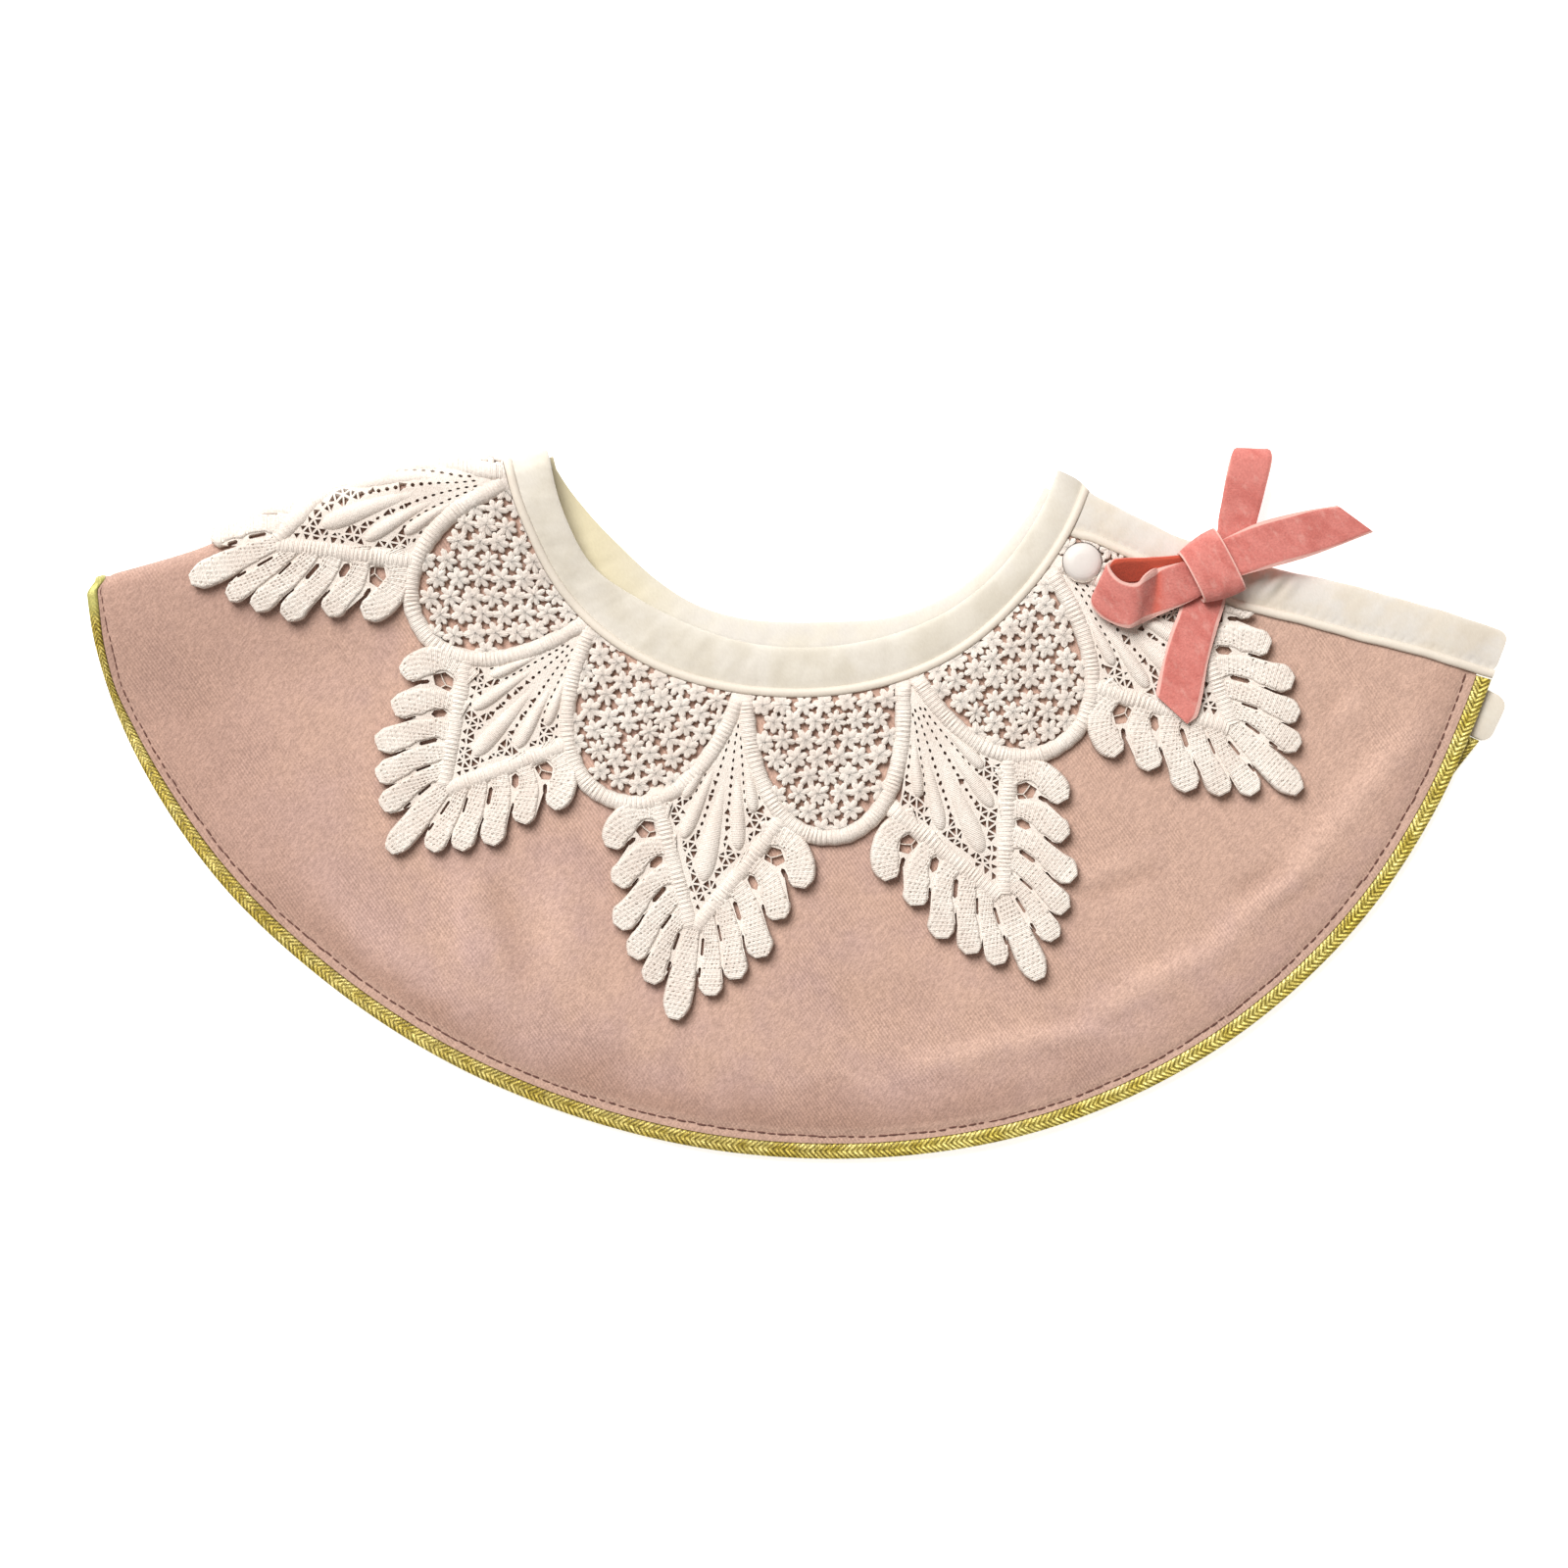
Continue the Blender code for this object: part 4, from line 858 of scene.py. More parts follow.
class Leaf:
    """One repeat of the collar: its apex, its axis and its side, laid flat."""

    def __init__(self, apex_sweep, tip_sweep, tip_radius, left_width, right_width):
        apex_radius = read_table(RINGS, apex_sweep, SEAM)
        self.apex = from_polar(apex_radius, apex_sweep)
        tip = from_polar(tip_radius, tip_sweep)
        self.scale = np.hypot(*(tip - self.apex)) / LEAF_LENGTH
        self.axis, self.side = heading(self.apex, tip)
        self.widths = {1.0: right_width, -1.0: left_width}

    def lay(self, points, hand=1.0):
        """Flat places of points given as (side, out)."""
        points = np.asarray(points, float)
        side = points[..., :1] * hand * self.widths[hand]
        return self.apex + (side * self.side + points[..., 1:2] * self.axis) * self.scale

    def span(self, row, hand):
        """Both ends of a row that starts with (side, out, side, out)."""
        return self.lay(np.array(row[:4]).reshape(2, 2), hand)

    def own(self, flat, hand=1.0):
        """The (side, out) of flat places."""
        away = (flat - self.apex) / self.scale
        return np.stack([away @ self.side / hand / self.widths[hand], away @ self.axis], -1)

    def finger_line(self, row, hand, share, offset=0.0):
        """Flat places along a finger's bend, or beside it by shares of its width."""
        share = np.atleast_1d(share)[:, None]
        start, bend, end = np.array(row[:6]).reshape(3, 2)
        near, far = mix(start, bend, share), mix(bend, end, share)
        run = mix(bend - start, end - bend, share)
        run /= np.linalg.norm(run, axis=1)[:, None]
        side = np.stack([run[:, 1], -run[:, 0]], 1)
        offset = np.atleast_1d(offset)[:, None]
        return self.lay(mix(near, far, share) + side * offset * row[6], hand)

    def finger_end(self, row, hand):
        """The outline round a finger's tip."""
        steps = np.array(FINGER_STEPS)
        outer = self.finger_line(row, hand, steps[:, 0], steps[:, 1])
        inner = self.finger_line(row, hand, steps[::-1, 0], -steps[::-1, 1])
        return [*outer, *inner]

    def half_outline(self, hand):
        """The leaf's outline from its apex to its last notch, down one side."""
        points = [*self.lay(LEAF_SHOULDER, hand)]
        points += [*self.finger_line(FINGERS[0], hand, FIRST_FINGER_BACK, 0.5)]
        rows = FINGERS + (TIP_FINGER,)
        for row, after in zip(rows, rows[1:]):
            points += self.finger_end(row, hand)
            notch = self.finger_line(row, hand, row[7], -0.5)
            notch = notch + self.finger_line(after, hand, after[7] - 0.06, 0.5)
            points.append(notch[0] / 2)
        return points

    def outline(self):
        tip = self.finger_end(TIP_FINGER, 1.0)
        return self.half_outline(1.0) + tip + self.half_outline(-1.0)[:0:-1]

    def arm(self, hand):
        return resample(self.lay(ARM, hand), 0.3)

    def curl(self, flat):
        """How far the cloth's lace stands up towards the fingers' tips."""
        side, out = np.moveaxis(self.own(flat), -1, 0)
        beyond = (abs(side) - ARM[1][0]) * ARM_NORMAL[0] + (out - ARM[1][1]) * ARM_NORMAL[1]
        return TIP_CURL * smooth(np.maximum((beyond - 2.0) / 12.0, (out - 61.0) / 20.0))

    def drops(self):
        """Centre line and half width of each teardrop."""
        return [(self.span(row, hand), row[4] * self.scale) for row in TEARDROPS
                for hand in ((1.0, -1.0) if row[2] else (1.0,))]


class Scallop:
    """A rounded bay of net between two leaves, edged by a satin cord."""

    def __init__(self, sweep, foot_sweep, half_width, depth):
        radius = read_table(RINGS, sweep, SEAM)
        self.top = from_polar(radius, sweep)
        self.out, self.side = heading(self.top, from_polar(radius + depth, foot_sweep))
        self.half_width = half_width
        self.depth = depth

    def curve(self, count):
        """Points of the cord from side to side."""
        angle = np.linspace(0.0, pi, count + 1)[:, None]
        power = 2 / SCALLOP_POWER
        across = self.half_width * abs(np.cos(angle)) ** power * np.sign(np.cos(angle))
        return self.top + self.side * across + self.out * self.depth * np.sin(angle) ** power


LEAF_SHAPES = [Leaf(*row) for row in LEAVES]
BAYS = [Scallop(*row) for row in SCALLOPS]


def cord_line(bay):
    """A scallop's cord, carried up into the neck seam."""
    curve = bay.curve(120)
    up = bay.out * 6.0
    return np.concatenate([curve[:1] - up, curve, curve[-1:] - up])


def add_cord(work, line, half_width, rise, ends=None):
    """A satin cord over a line, with its stitches across it and its ends let down."""
    line = kept_run(resample(line, CORD_PITCH / 4), 4)
    if line is None:
        return
    run = steps_along(line)
    across = columns_across(11)
    width = half_width + 0.07 * np.sin(run * 1.9) + 0.06 * np.sin(run * 0.73 + 1.0)
    uneven = 0.16 + 0.06 * np.sin(run * 0.47 + 2.0)
    stitch = uneven * np.cos(run / CORD_PITCH * 2 * pi + 1.2 * np.sin(run * 0.7))
    stitch += 0.07 * np.sin(run * 0.61)
    let_down = 1.0
    if ends:
        let_down = np.sqrt(smooth(run / ends[0]) * smooth((run[-1] - run) / ends[1]) + 0.02)
    body = (rise - CORD_EDGE + stitch) * let_down
    height = GAP + CORD_EDGE + body[:, None] * rounded(across)
    rings, cut = raised_strip(line, width, across, height)
    work.add_raised(rings, cut)


def make_lace_cords(material):
    """The satin cords of the scallops, and the arms that cross in each leaf's V."""
    work = Work()
    for bay in BAYS:
        add_cord(work, cord_line(bay), CORD_HALF_WIDTH, CORD_RISE)
    for leaf in LEAF_SHAPES:
        for hand in (1.0, -1.0):
            add_cord(work, leaf.arm(hand), ARM_HALF_WIDTH, ARM_RISE, ARM_ENDS)
    return work.finish("lace_cords", material, "lace")


def make_lace_drops(material):
    """The padded teardrops that spread from each leaf's apex."""
    work = Work()
    across = columns_across(10)
    for leaf in LEAF_SHAPES:
        for ends, half_width in leaf.drops():
            line = kept_run(resample(ends, 0.4))
            if line is None:
                continue
            share = np.linalg.norm(line - ends[0], axis=1) / np.linalg.norm(ends[1] - ends[0])
            width = half_width * read_table(TEAR_SHAPE, share)
            rise = mix(1.0, TEAR_RISE, smooth(share * 1.3)) * np.sqrt(width / width.max())
            stitch = 0.03 * np.cos(steps_along(line) * 2 * pi / 0.8)
            height = GAP + TEAR_EDGE + (rise + stitch)[:, None] * rounded(across)
            rings, cut = raised_strip(line, width, across, height)
            work.add_raised(rings, cut)
    return work.finish("lace_drops", material, "lace")


def finger_openings(leaf, hand):
    """Slits and holes beside the fingers, as flat lines with their half widths."""
    rows = [(leaf.span(row, hand), row[4] / 2 * leaf.scale) for row in FINGER_SLITS]
    hole = leaf.lay(np.array(ROOT_HOLE), hand)
    rows.append((np.stack([hole.mean(0) - 0.4, hole.mean(0) + 0.4]), 1.9 * leaf.scale))
    return rows


def room_beside(line, side, nominal, others, openings):
    """Half width that a finger fills on one side before it meets its neighbour."""
    width = nominal.copy()
    for other in others:
        gap, _, near = gap_to(line, other)
        facing = ((near - line) * side).sum(1) > 0.2 * gap
        width = np.where(facing, np.minimum(width, gap / 2 - 0.1), width)
    for slit, radius in openings:
        gap, _, near = gap_to(line, slit)
        facing = ((near - line) * side).sum(1) > 0.5 * gap
        width = np.where(facing, np.minimum(width, np.maximum(gap - radius, 0.9)), width)
    edged = np.pad(width, 2, mode="edge")
    return np.convolve(edged, np.ones(5) / 5, mode="valid")


def finger_top(stations, random):
    """Heights of a finger: a rim on both sides, and dimples between its stitches."""
    across = np.linspace(-1.0, 1.0, FINGER_COLUMNS)
    rim = 0.14 * np.exp(-(((abs(across) - 0.8) / 0.14) ** 2))
    station = np.arange(stations)[:, None]
    column = np.arange(FINGER_COLUMNS)[None, :]
    pitted = (station % 3 == 0) & ((column + station // 3) % 3 == 1)
    pits = np.where(pitted, random.uniform(*FINGER_PITS, pitted.shape), 0.0)
    pits[:, :2] = pits[:, -2:] = 0.0
    pits[-3:] = 0.0
    grain = 0.05 * random.standard_normal(pits.shape)
    edge = rounded(across, 8)
    height = GAP + FINGER_EDGE + (FINGER_RISE - FINGER_EDGE) * edge + rim - pits + grain
    height[-1] -= 0.3
    return height


def add_finger(work, leaf, row, line, others, openings, random):
    """A padded finger of satin stitches, up to its neighbours and its openings."""
    line = kept_run(resample(line, FINGER_STEP))
    if line is None:
        return
    share = np.linspace(0.0, 1.0, len(line))
    nominal = row[6] / 2 * leaf.scale * read_table(FINGER_SHAPE, share)
    nominal *= 1 + 0.07 * np.sin(steps_along(line) * 3.6 + row[0])
    nominal *= 1 + 0.025 * random.standard_normal(len(line))
    side = side_of(line)
    right = room_beside(line, side, nominal, others, openings)
    left = room_beside(line, -side, nominal, others, openings)
    across = np.linspace(-1.0, 1.0, FINGER_COLUMNS)
    half = np.where(across[None, :] > 0, right[:, None], left[:, None])
    rings, cut = raised_strip(line, half, across, finger_top(len(line), random))
    rise = rings[..., 2].copy()
    rings[..., 2] += leaf.curl(rings[..., :2])
    work.add_shell(on_cloth(tuck(rings)), cut=cut, rise=rise)


def add_root_threads(work, leaf, hand):
    """The loose threads across a root hole."""
    across = np.linspace(-1.0, 1.0, 6)
    for thread in ROOT_THREADS:
        thread = resample(leaf.lay(thread, hand), 0.4)
        if shows(thread).all():
            width = np.full(len(thread), 0.2)
            height = GAP + TEAR_EDGE + 0.6 * rounded(across) + 0.0 * width[:, None]
            rings, cut = raised_strip(thread, width, across, height)
            work.add_raised(rings, cut)


def make_lace_fingers(material):
    """Five fingers on each side of a leaf and one at its tip."""
    random = np.random.default_rng(7)
    work = Work()
    ends = np.linspace(0.0, 1.0, 60)
    rows = FINGERS + (TIP_FINGER,)
    for leaf in LEAF_SHAPES:
        for hand in (1.0, -1.0):
            openings = finger_openings(leaf, hand)
            lines = [leaf.finger_line(row, hand, ends) for row in rows]
            for number, row in enumerate(FINGERS):
                others = lines[max(number - 1, 0):number] + [lines[number + 1]]
                add_finger(work, leaf, row, lines[number], others, openings, random)
            if hand > 0:
                others = [lines[-2], leaf.finger_line(rows[-2], -hand, ends)]
                openings = openings + finger_openings(leaf, -hand)
                add_finger(work, leaf, TIP_FINGER, lines[-1], others, openings, random)
            add_root_threads(work, leaf, hand)
    return work.finish("lace_fingers", material, "lace", sharp=80.0)


def daisy_places(bay, random):
    """Centres of the daisies of a bay, on a net of equal triangles."""
    rows = []
    for row in range(-1, DAISY_ROWS):
        for column in range(-DAISY_HALF_COLUMNS, DAISY_HALF_COLUMNS + 1):
            aside = (column + (row % 2) / 2) * DAISY_PITCH
            out = row * DAISY_PITCH * 0.866 + 1.6
            rows.append(bay.top + bay.side * aside + bay.out * out)
    places = np.array(rows) + random.normal(0.0, 0.2, (len(rows), 2))
    border = bay.curve(80)
    local = places - bay.top
    across, out = local @ bay.side, local @ bay.out
    inside = (abs(across) / bay.half_width) ** SCALLOP_POWER
    inside += (np.maximum(out, 0.0) / bay.depth) ** SCALLOP_POWER
    gap = gap_to(places, border)[0]
    return places[(inside < 1.0) & (gap > 1.5)]


def add_daisy(work, place, facing, random):
    """A little domed flower of six or seven petals, no two quite alike."""
    petals = int(random.choice((6, 6, 6, 7)))
    turn = facing + (0.5 / petals + random.normal(0.0, 0.035)) * 2 * pi
    angle = ((np.arange(petals)[:, None] + DAISY_LOBE) / petals * 2 * pi).ravel() + turn
    lobe = np.tile(1.0 - abs(2 * DAISY_LOBE - 1) ** 1.8, petals)
    tips = np.repeat(random.normal(*DAISY_TIPS, petals), len(DAISY_LOBE))
    reach = mix(random.normal(*DAISY_NOTCHES), tips, lobe)
    dome = np.sqrt(1.0 - 0.42 * DAISY_RINGS**4)[:, None]
    ridge = mix(1.0, mix(0.86, 1.0, lobe), smooth(DAISY_RINGS / 0.8)[:, None])
    top = GAP + DAISY_EDGE + (DAISY_RISE - DAISY_EDGE) * dome * ridge
    top = top + random.normal(0.0, 0.08, top.shape)
    spread = DAISY_RINGS[:, None] * reach
    spread = np.concatenate([spread, spread[-1:], spread[:1]])
    height = np.concatenate([top, np.full((2, len(angle)), GAP)])
    x = place[0] + spread * np.cos(angle)
    y = place[1] + spread * np.sin(angle)
    cut = np.stack([angle / (2 * pi) * 13 + spread * 0, spread], -1)
    work.add_raised(np.stack([x, y, height], -1), cut)


def make_lace_daisies(material):
    """Close rows of little flowers in each bay between two leaves."""
    random = np.random.default_rng(11)
    work = Work()
    for bay in BAYS:
        places = daisy_places(bay, random)
        shift = np.linalg.norm(tuck(places) - places, axis=1)
        for place in places[shift < 1.6]:
            add_daisy(work, place, np.arctan2(*bay.side[::-1]), random)
    return work.finish("lace_daisies", material, "lace", sharp=80.0)


def collar_region():
    """The flat outline of where the collar is kept."""
    seam = ring(SEAM, LACE_SEAM)
    sweeps = np.linspace(0.0, OPEN_SWEEP, 90)
    inner = from_polar(seam(sweeps), sweeps)
    inner = inner[shows(inner * 1.0001) | (sweeps < 90.0)]
    radii = np.linspace(np.hypot(*inner[-1]) + 0.3, 200.0, 60)
    foot = from_polar(radii, sweep_of(placket_foot(LACE_SEAM), radii))
    back = np.linspace(to_polar(*foot[-1])[1], 0.0, 40)
    outer = from_polar(200.0, back)
    return [np.array((seam(0.0), -LACE_WRAP)), *inner, *foot, *outer,
            np.array((200.0, -LACE_WRAP))]


def anticlockwise(loop):
    loop = np.array(loop)
    ahead = np.roll(loop, -1, 0)
    turn = (loop[:, 0] * ahead[:, 1] - ahead[:, 0] * loop[:, 1]).sum()
    return loop if turn > 0 else loop[::-1]


def gap_to_drop(points, ends, half_width):
    """Distance from each point to the edge of a teardrop."""
    gap, share, _ = gap_to(points, ends)
    return gap - half_width * read_table(TEAR_SHAPE, share)


def net_holes(leaf, random):
    """Small three-sided holes of the thread net round the drops' ends."""
    rows = []
    for row in range(NET_ROWS):
        for column in range(-NET_HALF_COLUMNS, NET_HALF_COLUMNS + 1):
            rows.append(((column + row % 2 / 2) * NET_PITCH, 8.0 + row * NET_PITCH * 0.87))
    grid = np.array(rows) + random.normal(0.0, 0.3, (len(rows), 2))
    flat = leaf.lay(grid)
    points, _, faces, _, _, _ = delaunay_2d_cdt([Vector(p) for p in flat], [], [], 0, 1e-4)
    points = np.array([tuple(p) for p in points])
    corners = points[np.array(faces)]
    centre = corners.mean(1)
    own = leaf.own(centre)
    wide = np.interp(own[:, 1], *np.transpose(NET_INSIDE))
    free = (abs(own[:, 0]) < wide) & (own[:, 1] > NET_RUN[0]) & (own[:, 1] < NET_RUN[1])
    for line in [*map(cord_line, BAYS), leaf.arm(1.0), leaf.arm(-1.0)]:
        free &= gap_to(centre, line)[0] > CORD_HALF_WIDTH + 0.35
    for ends, half_width in leaf.drops():
        free &= gap_to_drop(centre, ends, half_width) > 0.45
    holes = []
    for triangle in corners[free]:
        middle = triangle.mean(0)
        sides = np.linalg.norm(triangle - np.roll(triangle, 1, 0), axis=1)
        a, b, c = triangle
        area = abs(np.cross(b - a, c - a)) / 2
        shrink = 1.0 - NET_THREAD * sides.sum() / (2 * area)
        if shrink > 0.25:
            holes.append(middle + (triangle - middle) * shrink)
    return holes


def drop_edge(row, out):
    """Where a drop's middle lies at a distance out, and its half width there."""
    share = np.clip((out - row[1]) / (row[3] - row[1]), 0.0, 1.0)
    return mix(row[0], row[2], share), row[4] * read_table(TEAR_SHAPE, share)


def cord_beside(leaf, hand):
    """The cord that runs down one side of a leaf, as rows of (side, out)."""
    for bay in BAYS:
        own = leaf.own(bay.curve(120), hand)
        near = own[(own[:, 0] > -0.5) & (own[:, 0] < 15.0) & (own[:, 1] > 2.0)]
        if len(near) > 8:
            return near[np.argsort(near[:, 1])]
    return None


def slit_holes(leaf, hand):
    """Rows of small slits in the grooves between the drops and the cords."""
    cord = cord_beside(leaf, hand)
    holes = []
    for number, (row, beyond) in enumerate(zip(TEARDROPS, TEARDROPS[1:] + (None,))):
        if beyond is None and cord is None:
            continue
        end = (beyond or row)[3] + 0.5
        for out in np.arange(8.0 + number * 0.7, end, SLIT_PITCH):
            side, half = drop_edge(row, out)
            if beyond:
                far, far_half = drop_edge(beyond, out)
            else:
                far = np.interp(out, cord[:, 1], cord[:, 0])
                far_half = CORD_HALF_WIDTH * 1.25
            inner, outer = side + half, far - far_half
            room = outer - inner
            if SLIT_ROOM[0] < room < SLIT_ROOM[1]:
                aside, ahead = SLIT_SHAPE.T
                lean = mix(row[2] - row[0], far - side, 0.5) / (row[3] - row[1])
                aside = aside * np.clip(room * 0.5, *SLIT_HALF_WIDTHS) + ahead * lean
                place = np.stack([aside, ahead], -1) + ((inner + outer) / 2, out)
                holes.append(leaf.lay(place, hand))
    return holes


def finger_hole(slit, radius):
    """The open place between two fingers, pointed at both ends."""
    (start, end), (way, side) = slit, heading(*slit)
    return np.array((
        start - way * radius, start + side * radius, end + side * radius,
        end + way * radius, end - side * radius, start - side * radius,
    ))


def leaf_holes(leaf, random):
    """Every hole of a leaf that the collar keeps."""
    holes = []
    for hand in (1.0, -1.0):
        holes.append(leaf.lay(np.array(ROOT_HOLE), hand))
        holes += [finger_hole(*slit) for slit in finger_openings(leaf, hand)[:-1]]
        holes += slit_holes(leaf, hand)
    holes += net_holes(leaf, random)
    return [hole for hole in holes if shows(hole).all()]


def cut_leaf(leaf, region, holes):
    """Points and faces of a leaf, inside the collar and round its holes."""
    points = []
    loops = []
    for loop in [leaf.outline(), region, *holes]:
        loop = anticlockwise(loop)
        loops.append(list(range(len(points), len(points) + len(loop))))
        points += [Vector(point) for point in loop]
    grid = np.stack(np.meshgrid(np.arange(-26, 27, 2.6), np.arange(-1, 82, 2.6)), -1)
    points += [Vector(point) for point in leaf.lay(grid).reshape(-1, 2)]
    flat, _, made, _, _, origin = delaunay_2d_cdt(points, [], loops, 1, 1e-4, True)
    faces = [list(face) for face, parents in zip(made, origin)
             if 0 in parents and 1 in parents and max(parents) < 2]
    used = sorted({corner for face in faces for corner in face})
    number = {corner: place for place, corner in enumerate(used)}
    return (np.array([tuple(flat[corner]) for corner in used]),
            [[number[corner] for corner in face] for face in faces])


def make_lace_ground(material):
    """The thin net under the relief: leaf shapes with every small hole cut out."""
    random = np.random.default_rng(5)
    work = Work()
    region = collar_region()
    for leaf in LEAF_SHAPES:
        flat, top = cut_leaf(leaf, region, leaf_holes(leaf, random))
        below = len(flat)
        shell = top + [[corner + below for corner in reversed(face)] for face in top]
        sides = {(a, b) for face in top for a, b in zip(face, face[1:] + face[:1])}
        shell += [[b, a, a + below, b + below] for a, b in sides if (b, a) not in sides]
        sheet = np.concatenate([at_height(flat, GAP + NET_WALL), at_height(flat, GAP)])
        rise = sheet[:, 2].copy()
        sheet[:, 2] += leaf.curl(sheet[:, :2])
        points = on_cloth(pressed(sheet))
        first = points[top[0]]
        if np.cross(first[1] - first[0], first[2] - first[0])[2] < 0:
            shell = [face[::-1] for face in shell]
        work.add(points, shell, np.concatenate([flat, flat]), rise)
    return work.finish("lace_ground", material, "lace", ["lace_collar"], sharp=40.0)


def make_sheet(name, grid, faces, width, material, slot, nodes):
    """A closed piece between its upper and its lower face."""
    work = Work()
    work.add_shell(sheet_rings(*faces), cut=sheet_cut(grid, width))
    return work.finish(name, material, slot, nodes)


def make_cloth_front(material):
    grid = ring_grid(
        ring(SEAM, -PIPING_WIDTH + TUCK_IN + 0.1), lambda sweep: braid_foot(sweep) - 0.1,
        np.append(np.linspace(0.0, STITCHED_FROM, 52)[:-1], np.linspace(STITCHED_FROM, 1.0, 15)),
        nose_lines(14), fan(0.8),
        placket_foot(PANEL_EASE - PIPING_WIDTH),
    )
    along, across = grid[..., 0], grid[..., 1]
    upper = at_height(grid, 0.0)
    upper[..., 2] -= stitch_pull(along, across)
    # Painted light and shade on the creases, paler on their ridges and darker in their troughs,
    # which its material reads
    crease_shading = 1.0 + crease_lift(along, np.maximum(across, 0.0)) * smooth(across / FOLD_RUN)
    work = Work()
    rings = sheet_rings(on_cloth(upper), on_cloth(at_height(grid, -CLOTH_WALL)))
    work.add_shell(rings, cut=sheet_cut(grid, CLOTH_DEPTH), rise=sheet_rings(crease_shading, crease_shading))
    return work.finish("cloth_front", material, "twill", ["panel_front"])


def make_cloth_back(material):
    """The hidden half, flat where it rests; its own lace inside it is not made here."""
    grid = ring_grid(
        ring(BACK_NECK, BACK_BAND_WIDTH + GAP), back_hem(-BRAID_WIDTH - GAP),
        np.linspace(0.0, 1.0, 41), [GAP], fan(1.6)[1:],
        back_edge(BACK_BAND_WIDTH + GAP),
    )
    faces = (on_cloth(at_height(grid, -CLOTH_WALL - GAP - HIDDEN_EASE)),
             on_floor(at_height(grid, 0.0)))
    return make_sheet("cloth_back", grid, faces, CLOTH_DEPTH, material, "twill",
                      ["panel_back"])


def pucker(run):
    """Uneven little waves where a bias strip eases round its seam."""
    return (
        0.5 * np.sin(run / 9.3 * 2 * pi)
        + 0.32 * np.sin(run / 5.2 * 2 * pi + 1.1)
        + 0.25 * np.sin(run / 14.1 * 2 * pi + 2.3)
        + 0.12 * np.sin(run / 2.9 * 2 * pi + 0.4)
    )


def puckered(grid, height, depth, width, pits, extra):
    """Heights of a band: puckers from its seam, and the needle's pits along it."""
    run = steps_along(grid[:, grid.shape[1] // 2, :2])[:, None]
    share = grid[..., 2]
    lifted = at_height(grid, height)
    lifted[..., 2] += depth * pucker(run + 3 * share) * (4 * share * (1 - share) + 0.15)
    lifted[..., 2] += extra
    if pits:
        aside = (share - PIT_SHARE) * width / PIT_SIZE[0]
        ahead = (run / STITCH_PITCH % 1.0 - 0.5) * STITCH_PITCH / PIT_SIZE[1]
        lifted[..., 2] -= pits * np.exp(-(aside**2)) * (0.35 + np.exp(-(ahead**2)))
    return lifted


def make_band(name, node, grid, heights, surface, width, material, puckers, pits=0.0,
              extra=0.0):
    """A puckered strip of bias cloth, with the depths of its puckers and pits."""
    faces = (surface(puckered(grid, heights[0], puckers, width, pits, extra)),
             surface(at_height(grid, heights[1])))
    return make_sheet(name, grid, faces, width, material, "sateen", [node])


def opening_strip(start, end, near, far, columns, count, corners=(0.0, 0.0)):
    """Flat stations of a strip between two lines beside an opening, neck to hem."""
    columns = np.asarray(columns, float)
    turn = np.maximum(0.0, abs(2 * columns - 1) - 0.55) / 0.45
    depth = np.where(columns < 0.5, *corners) * (1 - rounded(turn))
    radius = mix(start, end - depth, np.linspace(0.0, 1.0, count + 1)[:, None])
    sweep = mix(sweep_of(near, radius), sweep_of(far, radius), columns)
    flat = from_polar(radius, sweep)
    return np.concatenate([flat, (columns + radius * 0.0)[..., None]], -1)


def opening_run():
    """Radii at which the front opening's strips begin and end."""
    return (read_table(RINGS, PLACKET_SWEEP, SEAM) + SLOT,
            read_table(RINGS, OPEN_SWEEP, HEM) + PLACKET_OVERHANG)


def rumple(grid):
    """The opening's binding is drawn up a little beside the knot."""
    radius = np.hypot(grid[..., 0], grid[..., 1])
    out = (radius - RUMPLE_RADIUS) / RUMPLE_HALF_LENGTH
    aside = (grid[..., 2] - 0.3) / 0.34
    height = RUMPLE_RISE + 0.35 * np.sin(radius * 1.5 + grid[..., 2] * 5)
    return height * np.exp(-(out**2 + aside**2))


def make_bands(sateen, pale, crisp, shaded_beige):
    """The neck's and the opening's bindings, front and back."""
    rows = rounded_rows(20)
    front = ring_grid(
        ring(FRONT_NECK), ring(SEAM, -PIPING_WIDTH + TUCK_IN), rows,
        nose_lines(12), fan(0.35), opening_edge(0.0),
    )
    back = ring_grid(
        ring(BACK_NECK), ring(BACK_NECK, BACK_BAND_WIDTH), rows,
        [-3.0, -2.0, -1.0, GAP], fan(0.8)[1:], back_edge(0.0),
    )
    placket = opening_strip(
        *opening_run(), opening_edge(0.0), placket_foot(-PIPING_WIDTH + TUCK_IN), rows, 300,
        corners=(3.2, 1.4),
    )
    back_start = read_table(RINGS, OPEN_SWEEP, BACK_NECK) + BACK_BAND_WIDTH + GAP
    back_placket = opening_strip(
        back_start, back_hem()(PLACKET_SWEEP), back_edge(0.0), back_edge(BACK_BAND_WIDTH),
        rows, 120, corners=(3.2, 2.2),
    )
    face = (crown(BAND_EDGE, BAND_PUFF, BAND_LEAN), -CLOTH_WALL)
    under = (crown(BACK_TRIM_EDGE, BACK_TRIM_DEPTH), 0.0)
    return [
        make_band("neck_binding", "neck_band_front", front, face, on_cloth, BAND_WIDTH,
                  sateen, puckers=0.06, pits=0.09),
        make_band("neck_binding_back", "neck_band_back", back, under, on_floor,
                  BACK_BAND_WIDTH, pale, puckers=0.07),
        make_band("placket", "placket_band", placket, face, on_cloth, PLACKET_WIDTH,
                  crisp, puckers=0.04, pits=0.16, extra=rumple(placket)),
        make_band("placket_back", "placket_band_back", back_placket, under, on_floor,
                  BACK_BAND_WIDTH, shaded_beige, puckers=0.05),
    ]


